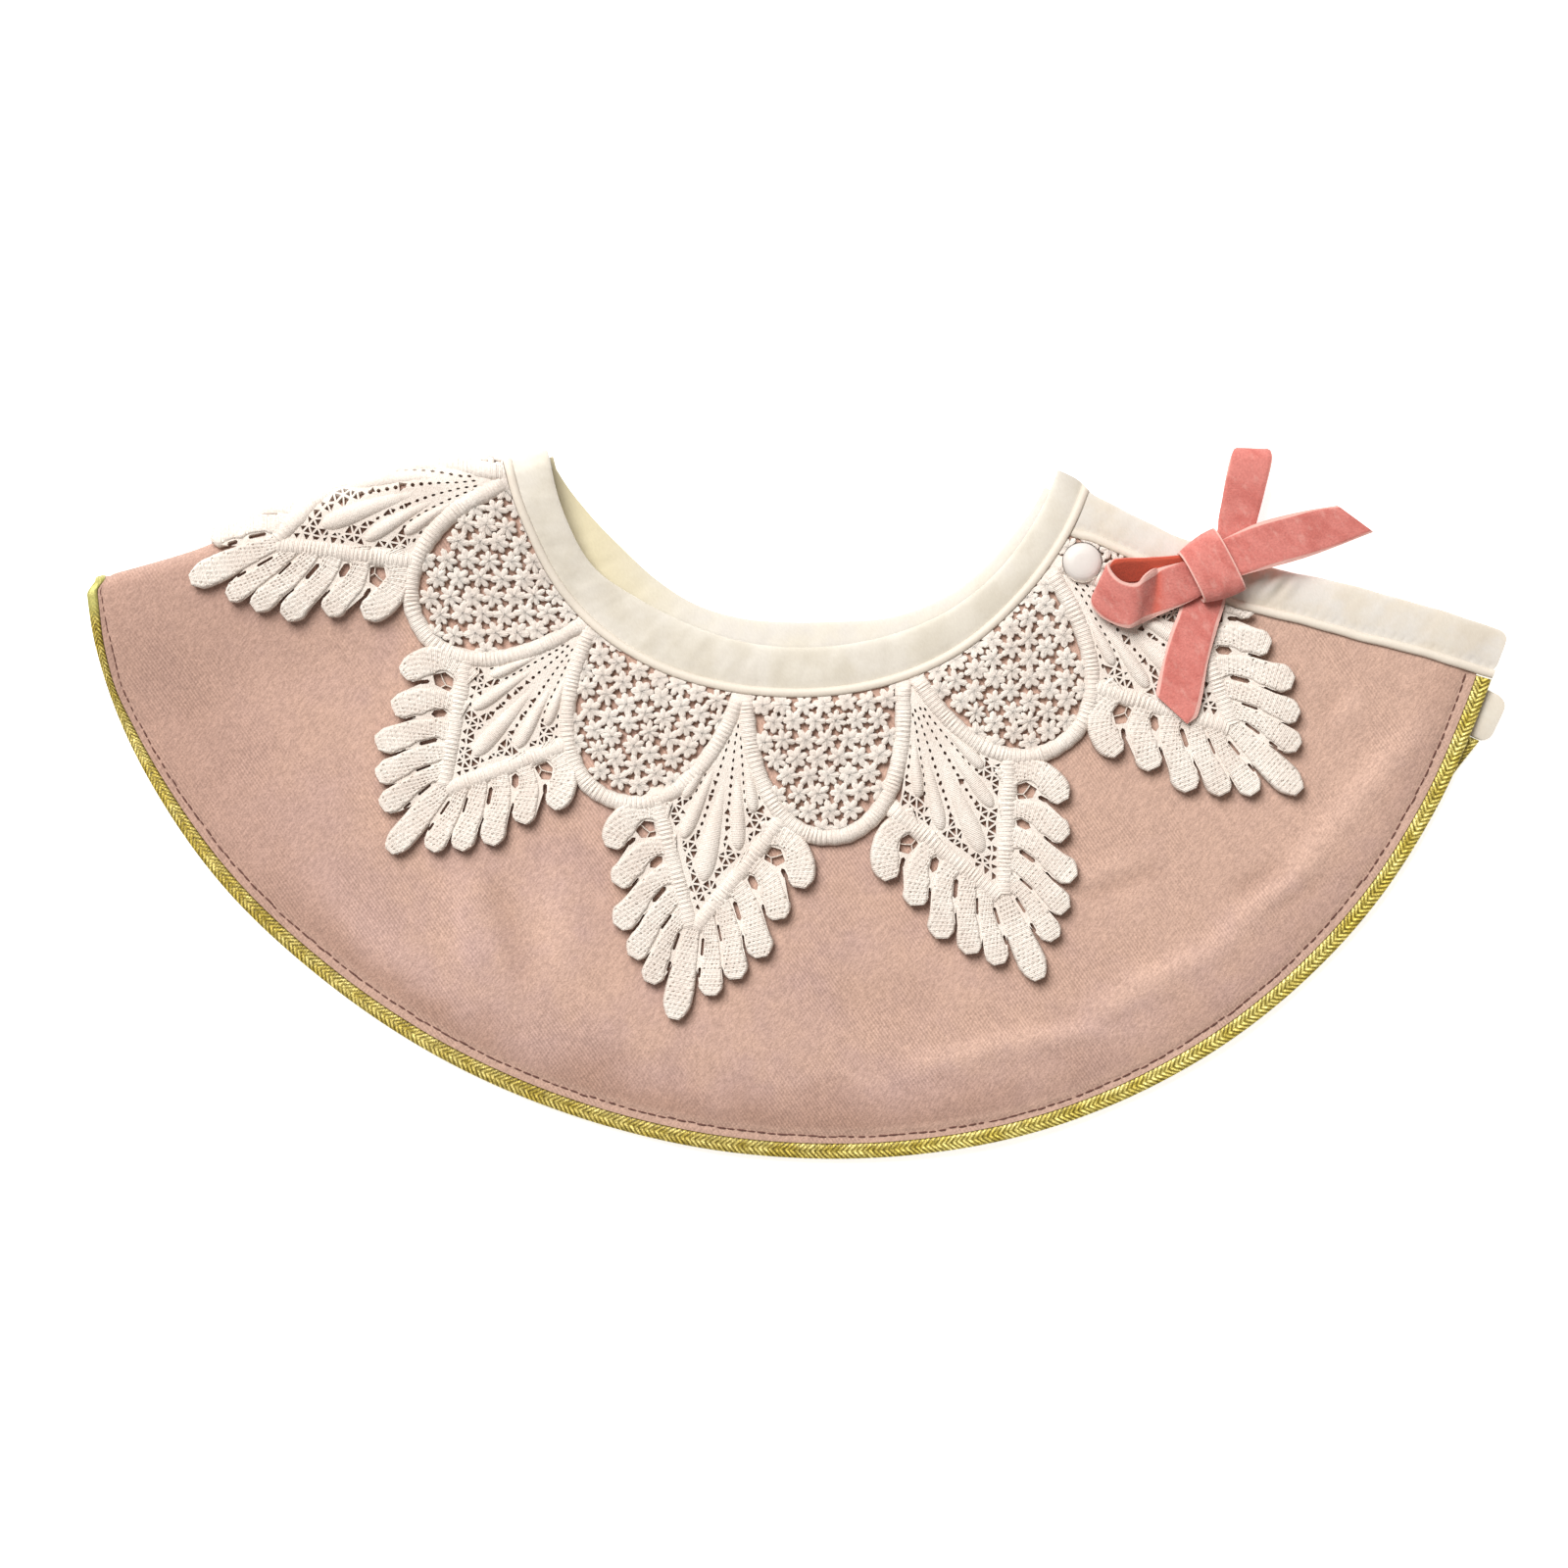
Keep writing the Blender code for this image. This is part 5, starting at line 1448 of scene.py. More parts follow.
def make_pipings(material):
    """The cords between the bindings and the cloth."""
    rows = rounded_rows(10)
    neck = ring_grid(
        ring(SEAM, -PIPING_WIDTH), ring(SEAM), rows,
        nose_lines(10, LACE_WRAP), fan(0.5), opening_edge(0.0),
    )
    opening = opening_strip(
        *opening_run(), placket_foot(-PIPING_WIDTH), placket_foot(0.0), rows, 150
    )
    heights = (crown(GAP + PIPING_EDGE, GAP + PIPING_RISE), GAP)
    return [
        make_sheet(name, grid, [on_cloth(at_height(grid, height)) for height in heights],
                   PIPING_WIDTH, material, "sateen", [node])
        for name, grid, node in (("neck_cord", neck, "neck_piping"),
                                 ("placket_cord", opening, "placket_piping"))
    ]


def plaited(grid, heights, surface, name, material, nodes):
    """A flat braid whose two rows of slanting stitches meet in the middle."""
    run = steps_along(grid[:, grid.shape[1] // 2, :2])[:, None]
    share = grid[..., 2]
    slant = run / BRAID_PITCH - abs(2 * share - 1) * BRAID_SLANT
    stitch = 1.0 - abs(2 * (slant - np.floor(slant)) - 1) ** 2.5
    split = 1.0 - 0.8 * np.exp(-(((share - 0.5) / BRAID_SPLIT) ** 2))
    edge = rounded(2 * share - 1, 8)
    upper = at_height(grid, heights[0])
    calm = mix(BRAID_CALM, 1.0, smooth(grid[..., 1] / BRAID_CALM_RUN))
    upper[..., 2] += BRAID_STITCH * (stitch * split - 0.5) * edge * calm
    work = Work()
    lower = surface(at_height(grid, heights[1]))
    phase = np.stack([slant * BRAID_PITCH, share * BRAID_WIDTH], -1)
    work.add_shell(sheet_rings(surface(upper), lower), cut=sheet_rings(phase, phase),
                   rise=sheet_rings(calm, calm))
    return work.finish(name, material, "gold_braid", nodes, sharp=80.0)


def make_braids(material):
    rows = np.array((0.0, 0.06, 0.2, 0.34, 0.46, 0.54, 0.66, 0.8, 0.94, 1.0))
    front = ring_grid(
        braid_foot, ring(HEM), rows,
        nose_lines(48), fan(0.061), placket_foot(GAP),
    )
    back = ring_grid(
        back_hem(-BRAID_WIDTH), back_hem(), rows,
        [GAP], fan(0.092)[1:], back_edge(BACK_BAND_WIDTH + GAP),
    )
    return [
        plaited(front, (crown(0.0, BRAID_RISE), -CLOTH_WALL), on_cloth,
                "braid_front", material, ["hem_braid_front"]),
        plaited(back, (crown(BACK_BRAID_EDGE, BACK_BRAID_DEPTH), 0.0), on_floor,
                "braid_back", material, ["hem_braid_back"]),
    ]


def topstitch_line():
    """The flat line of the topstitch, from behind the fold to the opening."""
    sweeps = np.linspace(0.0, OPEN_SWEEP, 600)
    radius = stitch_line(sweeps)
    line = from_polar(radius, sweeps)
    line = line[to_polar(*line.T)[1] < sweep_of(placket_foot(GAP), radius)]
    across = np.arange(-2.0, 0.0, 0.5)
    behind = np.stack([np.full(len(across), radius[0]), across], -1)
    return resample(np.concatenate([behind, line]), 0.1)


def make_hem_stitches(sizes, material):
    """Short threads, each sunk at its ends and a little out of line."""
    pitch, usual, thread = (round(size / MM, 4)
                            for size in (sizes.pitch, sizes.length, sizes.thread))
    line = topstitch_line()
    run = steps_along(line)
    random = np.random.default_rng(3)
    work = Work()
    angle = np.linspace(0.0, 2 * pi, 6, endpoint=False)
    arc = np.sin(np.linspace(0.0, pi, 6)) ** 0.5
    for start in np.arange(0.5, run[-1] - pitch, pitch):
        length = usual * (1 + random.normal(0.0, 0.12))
        at = start + np.linspace(0.0, length, 6)
        centre = np.stack([np.interp(at, run, column) for column in line.T], -1)
        side = heading(centre[0], centre[-1])[1]
        centre = centre + side * random.normal(0.0, 0.09)
        size = thread * mix(0.7, 1.0, arc) * mix(0.6, 1.0, smooth(start / 60.0))
        sunk = random.uniform(0.0, 0.16) + STITCH_PULL * 0.7
        height = 0.14 * arc[:, None] - 0.1 - sunk + size[:, None] * np.sin(angle)
        aside = size[:, None] * np.cos(angle)
        flat = centre[:, None] + side * aside[..., None]
        work.add_shell(on_cloth(np.concatenate([flat, height[..., None]], -1)))
    return work.finish("hem_topstitch", material, "twill")


def make_snap_cap(material):
    """A round cap, turned from its profile."""
    angle = np.linspace(0.0, 2 * pi, 64, endpoint=False)
    centre = NECK_CENTRE + SNAP_CENTRE
    fine = resample(np.array(SNAP_PROFILE), 0.18)
    rings = np.stack([
        centre[0] + fine[:, :1] * np.cos(angle),
        centre[1] + fine[:, :1] * np.sin(angle),
        FRONT_TOP + GAP + fine[:, 1:] + 0.0 * angle,
    ], -1)
    work = Work()
    work.add_shell(rings)
    return work.finish("snap_button", material, "snap", ["snap_cap"], sharp=70.0)


def smooth_rows(rows, pitch):
    """Stations on a smooth curve through the rows of a ribbon's table."""
    rows = np.array(rows, float)
    middle = (rows[:, :3] + rows[:, 3:]) / 2
    run = steps_along(middle)
    table = np.concatenate([run[:, None], rows], 1)
    at = np.linspace(0.0, run[-1], int(run[-1] / pitch) + 1)
    return np.stack([read_table(table, at, column) for column in range(1, 7)], -1)


def ribbon_profile(columns):
    """Places across a ribbon and its half thickness: thin at the woven edges."""
    across = columns_across(columns)
    pile = smooth((1.0 - abs(across)) / WOVEN_EDGE)
    return across, mix(WOVEN_SHARE / 2, 0.5, pile) * RIBBON_WALL


def make_ribbon(name, rows, material, nodes, dent_at=-99.0):
    """A ribbon along its table, with its pile outside and painted shade in a dent."""
    edges = smooth_rows(rows, 0.45)
    origin = np.array((*NECK_CENTRE, 0.0))
    one, two = edges[:, :3] + origin, edges[:, 3:] + origin
    middle = (one + two) / 2
    way = np.gradient(middle, axis=0)
    normal = np.cross(two - one, way)
    normal /= np.linalg.norm(normal, axis=1)[:, None]
    across, half = ribbon_profile(18)
    share = (across + 1) / 2
    face = one[:, None] + (two - one)[:, None] * share[:, None]
    lift = normal[:, None] * half[:, None]
    run = steps_along(middle)
    wave = 0.12 * pucker(run * 0.8)[:, None, None] * normal[:, None] * abs(across[:, None]) ** 3
    rings = sheet_rings(face + wave + lift, face + wave - lift)
    # Outer faces keep the pile's tint; inner faces and the dent take the painted shade and glow
    outside = np.full(face.shape[:2], 1.0 if normal[0, 2] > 0 else 0.0)
    dent_shade = 1.0 - DENT_SHADE * np.exp(-(((run - dent_at) / DENT_RUN) ** 2))[:, None]
    rise = sheet_rings(outside * dent_shade, (1.0 - outside) * dent_shade)
    width = np.linalg.norm(two - one, axis=1)[:, None] / 2
    side = np.stack([run[:, None] + across * 0, across * width], -1)
    work = Work()
    work.add_shell(rings, cut=sheet_rings(side, side), rise=rise)
    return work.finish(name, material, "velvet", nodes, sharp=60.0)


def make_knot(material):
    """The ribbon wrapped round the bow's middle, open where the loops go in."""
    wrap, band = unit(KNOT_WRAP_BEARING), unit(KNOT_WRAP_BEARING + pi / 2)
    middle_z = (KNOT_TOP + KNOT_BOTTOM) / 2
    half_height = (KNOT_TOP - KNOT_BOTTOM) / 2
    angle = np.linspace(0.0, 2 * pi, 72, endpoint=False)[:, None]
    across, half = ribbon_profile(16)
    bulge = 1.0 - 0.07 * across**2
    length = mix(*KNOT_LENGTH, (across + 1) / 2)
    folds = 0.0
    for turn, place, lean, width, height in KNOT_FOLDS:
        line = place + lean * (angle - radians(turn))
        near = np.cos(np.minimum(abs(angle - radians(turn)) * 1.6, pi / 2))
        folds = folds + height * near * np.exp(-(((across - line) / width) ** 2))
    reach_x, reach_z = (np.sign(turn) * abs(turn) ** (2 / KNOT_POWER)
                        for turn in (np.cos(angle), np.sin(angle)))
    layers = []
    for sign in (1.0, -1.0):
        shrink = half * (sign - 1.0)
        out = (length * bulge + shrink + folds) * reach_x
        up = (half_height * bulge + shrink + folds) * reach_z
        skew = across * KNOT_HALF_WIDTH + 0.35 * np.sin(angle + 0.6)
        flat = NECK_CENTRE + KNOT_CENTRE + out[..., None] * wrap + skew[..., None] * band
        layers.append(np.concatenate([flat, (middle_z + up)[..., None]], -1))
    run = angle * (sum(KNOT_LENGTH) / 2 + half_height) / 2
    side = np.stack([run + across * 0, across * KNOT_HALF_WIDTH + run * 0], -1)
    work = Work()
    # The inner layer takes the painted shade of the loops' insides
    outside = np.ones(side.shape[:2])
    work.add_shell(sheet_rings(*layers), looped=True, cut=sheet_rings(side, side),
                   rise=sheet_rings(outside, outside * 0.0))
    return work.finish("bow_wrap", material, "velvet", ["bow_knot"], sharp=60.0)


def srgb(red, green, blue):
    """Linear colour from the usual 0 to 255 values."""
    values = [(channel / 255) for channel in (red, green, blue)]
    return tuple(v / 12.92 if v <= 0.04045 else ((v + 0.055) / 1.055) ** 2.4 for v in values)


class Finish:
    """A material's nodes, added one by one round its shader."""

    def __init__(self, name, **values):
        self.material = bpy.data.materials.new(name)
        self.material.use_nodes = True
        self.tree = self.material.node_tree
        self.shader = self.tree.nodes["Principled BSDF"]
        for socket, value in values.items():
            self.shader.inputs[socket.replace("_", " ").title()].default_value = value

    def node(self, kind, sockets, **settings):
        node = self.tree.nodes.new("ShaderNode" + kind)
        for name, value in settings.items():
            setattr(node, name, value)
        for name, value in sockets.items():
            if isinstance(value, bpy.types.NodeSocket):
                self.tree.links.new(value, node.inputs[name])
            else:
                node.inputs[name].default_value = value
        return node

    def place(self):
        return self.node("TexCoord", {}).outputs["Object"]

    def rise(self):
        return self.node("Attribute", {}, attribute_name="Rise").outputs["Fac"]

    def pattern(self):
        return self.node("UVMap", {}, uv_map="Pattern").outputs["UV"]

    def stretched(self, vector, lengths, turn=0.0):
        """The place turned, then drawn out along its own axes."""
        sockets = {"Vector": vector, "Scale": lengths, "Rotation": (0.0, 0.0, turn)}
        return self.node("Mapping", sockets, vector_type="TEXTURE").outputs["Vector"]

    def noise(self, vector, size, detail=2.0, roughness=0.5):
        """Soft noise whose lumps are about size millimetres across."""
        sockets = {"Vector": vector, "Scale": 1.0 / (size * MM), "Detail": detail,
                   "Roughness": roughness}
        return self.node("TexNoise", sockets).outputs["Fac"]

    def math(self, operation, first, second=0.0):
        return self.node("Math", {0: first, 1: second}, operation=operation).outputs[0]

    def ramp(self, value, low, high, start=0.0, end=1.0):
        sockets = {"Value": value, "From Min": low, "From Max": high, "To Min": start,
                   "To Max": end}
        node = self.node("MapRange", sockets, interpolation_type="SMOOTHSTEP")
        return node.outputs["Result"]

    def axis(self, vector, name):
        return self.node("SeparateXYZ", {0: vector}).outputs[name]

    def along(self, vector, direction):
        """How far a place lies in a direction."""
        sockets = {0: vector, 1: direction}
        return self.node("VectorMath", sockets, operation="DOT_PRODUCT").outputs["Value"]

    def lines(self, vector, direction, pitch):
        """Even ridges from 0 to 1, a pitch in millimetres apart."""
        turn = self.math("MULTIPLY", self.along(vector, direction), 2 * pi / (pitch * MM))
        return self.ramp(self.math("SINE", turn), -1.0, 1.0)

    def blend(self, share, first, second, how="MIX"):
        node = self.tree.nodes.new("ShaderNodeMix")
        node.data_type = "RGBA"
        node.blend_type = how
        for place, value in ((0, share), (6, first), (7, second)):
            if isinstance(value, bpy.types.NodeSocket):
                self.tree.links.new(value, node.inputs[place])
            else:
                node.inputs[place].default_value = (*value, 1.0) if place else value
        return node.outputs[2]

    def between(self, value, low, high, first, second):
        """From the first tint to the second as a value runs from low to high."""
        return self.blend(self.ramp(value, low, high), first, second)

    def times(self, tint, tone):
        return self.blend(1.0, tint, tone, "MULTIPLY")

    def shaded(self, tint, value, low, high, dark, light):
        """The tint, darker where a value is low and lighter where it is high."""
        return self.times(tint, self.between(value, low, high, dark, light))

    def colour(self, value):
        self.tree.links.new(value, self.shader.inputs["Base Color"])

    def relief(self, layers):
        """Stack bumps given as (height, depth in millimetres)."""
        normal = None
        for height, depth in layers:
            sockets = {"Height": height, "Distance": depth * MM, "Strength": 1.0}
            if normal is not None:
                sockets["Normal"] = normal
            normal = self.node("Bump", sockets).outputs["Normal"]
        self.tree.links.new(normal, self.shader.inputs["Normal"])


def scaled(colour, factor):
    return tuple(min(channel * factor, 1.0) for channel in colour)


def twill_finish(colours):
    finish = Finish("dusty_rose_twill", roughness=0.9, sheen_weight=0.2, sheen_roughness=0.5)
    place = finish.place()
    east = finish.axis(place, "X")
    out = finish.axis(finish.pattern(), "Y")
    # Cool clouds at random on the warm ground, drawn towards the hem and the lower left as
    # painted shade
    cloud = finish.math("ADD", finish.noise(place, 13.0, 3.0, 0.55),
                        finish.along(place, (-1.2, -1.6, 0.0)))
    cloud = finish.math("ADD", cloud, finish.ramp(out, 84.0 * MM, 106.0 * MM, 0.0, 0.22))
    tint = finish.between(cloud, 0.42, 0.92, colours.rose, colours.mauve)
    # Painted shade, deeper towards the hem and more so on the left, but rosy again beside the
    # braid
    wander = finish.math("MULTIPLY", finish.noise(place, 18.0), 0.02)
    hem_shade = finish.ramp(finish.math("ADD", out, wander), 103.0 * MM, 117.0 * MM)
    hem_shade = finish.math("MULTIPLY", hem_shade, finish.ramp(east, 0.02, 0.09, 1.0, 0.35))
    tint = finish.blend(hem_shade, tint, colours.hem_shade_mauve)
    tint = finish.blend(finish.ramp(out, 105.5 * MM, 107.5 * MM, 0.0, 0.7), tint, colours.rose)
    # Painted shade towards the fold on the left
    tint = finish.blend(finish.ramp(east, -0.09, -0.155, 0.0, 0.85), tint, colours.fold_shade_rose)
    # Painted light and shade on the creases: paler on their ridges, darker in their troughs
    tint = finish.shaded(tint, finish.rise(), 0.1, 1.9, (0.89, 0.875, 0.86), (1.1, 1.12, 1.135))
    patch = finish.noise(finish.stretched(place, (1.0, 1.8, 1.0), radians(30.0)), 4.5, 3.0, 0.6)
    tint = finish.shaded(tint, patch, 0.32, 0.7, (0.97, 0.965, 0.97), (1.03, 1.025, 1.02))
    yarn = finish.noise(finish.stretched(place, (1.0, 3.0, 1.0), radians(-35.0)), 0.5, 2.0, 0.6)
    tint = finish.shaded(tint, yarn, 0.32, 0.68, (0.84, 0.83, 0.83), (1.07, 1.07, 1.07))
    fleck = finish.noise(place, 0.4, 2.0, 0.7)
    tint = finish.shaded(tint, fleck, 0.3, 0.7, (0.86, 0.84, 0.83), (1.1, 1.1, 1.1))
    # The diagonal shows where the cloth is worn and is felted over elsewhere
    ridge = finish.lines(place, (0.82, 0.57, 0.0), 0.78)
    wale = finish.blend(ridge, (0.86, 0.85, 0.84), (1.07, 1.07, 1.07))
    shown = finish.noise(place, 22.0)
    finish.colour(finish.shaded(tint, shown, 0.42, 0.62, (1.0, 1.0, 1.0), wale))
    finish.relief([(ridge, 0.05), (yarn, 0.11), (fleck, 0.1)])
    return finish.material


def lace_finish(colours):
    finish = Finish("cotton_lace", roughness=0.8, sheen_weight=0.15, sheen_roughness=0.5)
    place = finish.place()
    thread = finish.lines(finish.pattern(), (1.0, 0.0, 0.0), 0.42)
    fuzz = finish.noise(place, 0.5, 2.0, 0.6)
    cloud = finish.noise(place, 9.0)
    tint = finish.between(cloud, 0.35, 0.65, colours.lace, colours.lace_shade)
    tint = finish.shaded(tint, fuzz, 0.3, 0.7, (0.9, 0.89, 0.87), (1.04, 1.04, 1.04))
    # Painted shade, deeper and warmer low down between the threads
    tint = finish.shaded(tint, finish.rise(), 0.35, 1.4, (0.62, 0.5, 0.42), (1.0, 1.0, 1.0))
    finish.colour(tint)
    finish.relief([(thread, 0.07), (fuzz, 0.16)])
    return finish.material


def sateen_finish(name, main, deeper, cool, fold=None):
    finish = Finish(name, roughness=0.55, sheen_weight=0.2, sheen_roughness=0.4)
    place = finish.place()
    tint = finish.between(finish.noise(place, 8.0, 3.0), 0.34, 0.66, main, deeper)
    tint = finish.blend(finish.ramp(finish.noise(place, 12.0), 0.48, 0.68, 0.0, 0.4),
                        tint, cool)
    # Painted shade and yellow bounce light inside the neck's fold, on the left
    if fold:
        tint = finish.between(finish.axis(place, "X"), -0.022, -0.054, tint, fold)
    weave = finish.noise(finish.stretched(place, (1.0, 2.5, 1.0), 0.4), 0.4, 2.0, 0.6)
    tint = finish.shaded(tint, weave, 0.3, 0.7, (0.97, 0.965, 0.955), (1.02, 1.02, 1.02))
    finish.colour(tint)
    finish.relief([(weave, 0.04), (finish.noise(place, 4.5), 0.12)])
    return finish.material


def braid_finish(colours):
    finish = Finish("gold_lurex_braid", roughness=0.4, metallic=0.3)
    place = finish.place()
    pattern = finish.pattern()
    tint = finish.between(finish.noise(place, 6.0), 0.35, 0.65, colours.gold,
                          colours.gold_shade)
    # Painted glints, speck by speck
    glint = finish.noise(place, 0.35, 1.0, 0.7)
    tint = finish.shaded(tint, glint, 0.3, 0.72, (0.6, 0.6, 0.5), (1.4, 1.4, 1.6))
    # Painted light and shade of the plaits: light on their ridges, dark in their grooves
    plait_shading = finish.lines(pattern, (1.0, 0.0, 0.0), BRAID_PITCH)
    tint = finish.times(tint, finish.blend(plait_shading, (1.4, 1.42, 1.45), (0.4, 0.36, 0.18)))
    # Painted glints, brighter on some strands than on others
    strand_glint = finish.noise(pattern, 1.1, 0.0)
    tint = finish.shaded(tint, strand_glint, 0.36, 0.64, (0.78, 0.76, 0.66), (1.3, 1.32, 1.5))
    # Painted shade: darker along its inner edge, and duller on the left
    edge = finish.ramp(finish.axis(pattern, "Y"), 0.0, 0.9 * MM, 0.72, 1.0)
    tint = finish.blend(edge, (0.0, 0.0, 0.0), tint)
    tint = finish.shaded(tint, finish.axis(place, "X"), -0.03, 0.06, (0.8, 0.76, 0.84),
                         (0.98, 0.97, 1.1))
    calm = finish.ramp(finish.rise(), 0.9, 0.3, 0.0, 0.8)
    finish.colour(finish.blend(calm, tint, colours.gold_pale))
    finish.relief([(finish.noise(place, 0.25, 1.0), 0.08)])
    return finish.material


def stitch_finish(colours):
    finish = Finish("mauve_thread", roughness=0.7)
    twist = finish.noise(finish.place(), 0.3, 1.0)
    finish.colour(finish.between(twist, 0.3, 0.7, scaled(colours.stitch, 0.8),
                                 scaled(colours.stitch, 1.25)))
    finish.relief([(twist, 0.05)])
    return finish.material


def velvet_finish(colours):
    finish = Finish("coral_velvet", roughness=0.95, sheen_weight=0.45, sheen_roughness=0.45)
    finish.shader.inputs["Sheen Tint"].default_value = (1.0, 0.72, 0.68, 1.0)
    place = finish.place()
    crush = finish.noise(finish.stretched(place, (1.0, 2.2, 1.0), 0.9), 3.5, 3.0, 0.6)
    tint = finish.between(crush, 0.38, 0.68, colours.velvet, colours.velvet_shade)
    nap = finish.noise(place, 0.5, 2.0, 0.7)
    tint = finish.shaded(tint, nap, 0.3, 0.7, (0.9, 0.88, 0.88), (1.08, 1.1, 1.1))
    # Painted sheen: pale frosted patches on the pile
    frost_sheen = finish.noise(finish.stretched(place, (0.7, 1.6, 1.0), 0.5), 2.4, 3.0, 0.65)
    tint = finish.blend(finish.ramp(frost_sheen, 0.5, 0.75, 0.0, 0.32), tint, colours.selvedge)
    # Painted shade and reddish glow on the ribbon's inner faces and in its dents, where Rise is
    # low
    tint = finish.blend(finish.rise(), colours.velvet_inside_shade, tint)
    away = finish.math("ABSOLUTE", finish.axis(finish.pattern(), "Y"))
    finish.colour(finish.between(away, 4.75 * MM, 5.15 * MM, tint, colours.selvedge))
    finish.relief([(nap, 0.16), (crush, 0.2)])
    return finish.material


def snap_finish(colours):
    finish = Finish("snap_resin", roughness=0.42)
    place = finish.place()
    finish.colour(finish.between(finish.noise(place, 3.0), 0.35, 0.65, colours.snap,
                                 scaled(colours.snap, 0.97)))
    finish.relief([(finish.noise(place, 1.2), 0.02)])
    return finish.material


def floor_finish(colours):
    finish = Finish("table_white", roughness=0.9, emission_strength=0.72)
    finish.shader.inputs["Emission Color"].default_value = (1.0, 1.0, 1.0, 1.0)
    haze = finish.noise(finish.place(), 120.0)
    finish.colour(finish.between(haze, 0.3, 0.7, colours.floor, scaled(colours.floor, 0.995)))
    return finish.material


def colour_of(name, description, red, green, blue):
    return bpy.props.FloatVectorProperty(
        name=name, description=description, subtype="COLOR", size=3, min=0.0, max=1.0,
        default=srgb(red, green, blue),
    )


class BibColours(bpy.types.PropertyGroup):
    """Colours of the bib's cloths, threads and trims."""

    rose: colour_of("Rose", "Warm tone of the outer cloth", 197, 165, 149)
    mauve: colour_of("Mauve", "Cool tone of the outer cloth", 187, 157, 148)
    # Painted shade along the hem
    hem_shade_mauve: colour_of("Deep Mauve", "Tone along the hem", 172, 139, 124)
    # Painted shade towards the fold
    fold_shade_rose: colour_of("Deep Rose", "Tone towards the fold", 182, 149, 135)
    lace: colour_of("Lace", "Cotton of the lace", 231, 224, 217)
    lace_shade: colour_of("Lace Shade", "Deeper tone of the lace", 225, 215, 207)
    cream: colour_of("Cream", "Bindings", 208, 203, 192)
    cream_shade: colour_of("Cream Shade", "Deeper tone of the bindings", 199, 193, 180)
    cream_warm: colour_of("Warm Cream", "Beige patches of the bindings", 207, 199, 186)
    # Painted shade and yellow bounce light inside the neck's fold
    fold_shade_cream: colour_of("Fold Cream", "Glow inside the neck's fold", 203, 194, 163)
    cream_cool: colour_of("Cool Cream", "Binding of the opening", 210, 206, 200)
    piping: colour_of("Piping", "Bias strip of the pipings", 216, 208, 196)
    gold: colour_of("Gold", "Braid along the hem", 208, 196, 106)
    gold_pale: colour_of("Pale Gold", "Braid where it rolls under the fold", 170, 168, 96)
    gold_shade: colour_of("Gold Shade", "Deeper tone of the braid", 186, 169, 66)
    stitch: colour_of("Stitch", "Thread of the topstitch", 96, 62, 54)
    velvet: colour_of("Velvet", "Pile of the ribbon", 203, 124, 116)
    velvet_shade: colour_of("Velvet Shade", "Crushed pile of the ribbon", 190, 107, 99)
    # Painted shade and reddish glow inside the loops
    velvet_inside_shade: colour_of("Ribbon Back", "Inside of the ribbon's loops", 196, 82, 58)
    selvedge: colour_of("Selvedge", "Woven edge of the ribbon", 219, 173, 164)
    snap: colour_of("Snap", "Cap of the snap", 212, 207, 203)
    floor: colour_of("Table", "Plain table under the bib", 250, 250, 250)


def size_of(name, description, millimetres):
    return bpy.props.FloatProperty(
        name=name, description=description, subtype="DISTANCE", unit="LENGTH",
        default=millimetres * MM, min=0.05 * MM,
    )


class BibStitches(bpy.types.PropertyGroup):
    """Sizes of the topstitch along the hem."""

    pitch: size_of("Stitch Pitch", "From one topstitch to the next", STITCH_PITCH)
    length: size_of("Stitch Length", "Length of one topstitch", STITCH_LENGTH)
    thread: size_of("Thread", "Half the thickness of the topstitch's thread", STITCH_THREAD)


class BibLight(bpy.types.PropertyGroup):
    """Light and camera of the stage."""

    key: bpy.props.FloatProperty(
        name="Key", description="Power of the soft light from the upper left",
        default=158.0, min=0.0, unit="POWER",
    )
    sky: bpy.props.FloatProperty(
        name="Sky", description="Strength of the even light all round",
        default=0.33, min=0.0,
    )
    frame_width: bpy.props.FloatProperty(
        name="Frame", description="Width of table that the camera takes in",
        default=0.38752, min=0.1, subtype="DISTANCE", unit="LENGTH",
    )


def make_stage(light, material):
    mesh = bpy.data.meshes.new("table_top")
    corners = [(x * TABLE_HALF, y * TABLE_HALF, 0.0)
               for x, y in ((-1, -1), (1, -1), (1, 1), (-1, 1))]
    mesh.from_pydata(corners, [], [(0, 1, 2, 3)])
    mesh.materials.append(material)
    put_in_scene("table_top", mesh)

    world = bpy.data.worlds.new("studio")
    world.use_nodes = True
    sky = world.node_tree.nodes["Background"].inputs
    sky["Strength"].default_value = light.sky
    sky["Color"].default_value = (1.0, 0.9, 0.82, 1.0)
    bpy.context.scene.world = world

    lamp = bpy.data.lights.new("window", "AREA")
    lamp.shape = "DISK"
    lamp.size = WINDOW_SIZE
    lamp.energy = light.key
    lamp.color = (1.0, 0.985, 0.96)
    window = put_in_scene("window", lamp)
    window.location = WINDOW_PLACE
    window.rotation_euler = (-window.location).to_track_quat("-Z", "Y").to_euler()

    lens = bpy.data.cameras.new("overhead")
    lens.lens = 100.0
    lens.sensor_width = 36.0
    camera = put_in_scene("overhead", lens)
    rise = light.frame_width / (lens.sensor_width / lens.lens)
    camera.location = (VIEW_MIDDLE[0] * MM, VIEW_MIDDLE[1] * MM, rise + FRONT_TOP * MM)
    bpy.context.scene.camera = camera
    bpy.context.scene.view_settings.view_transform = "Standard"


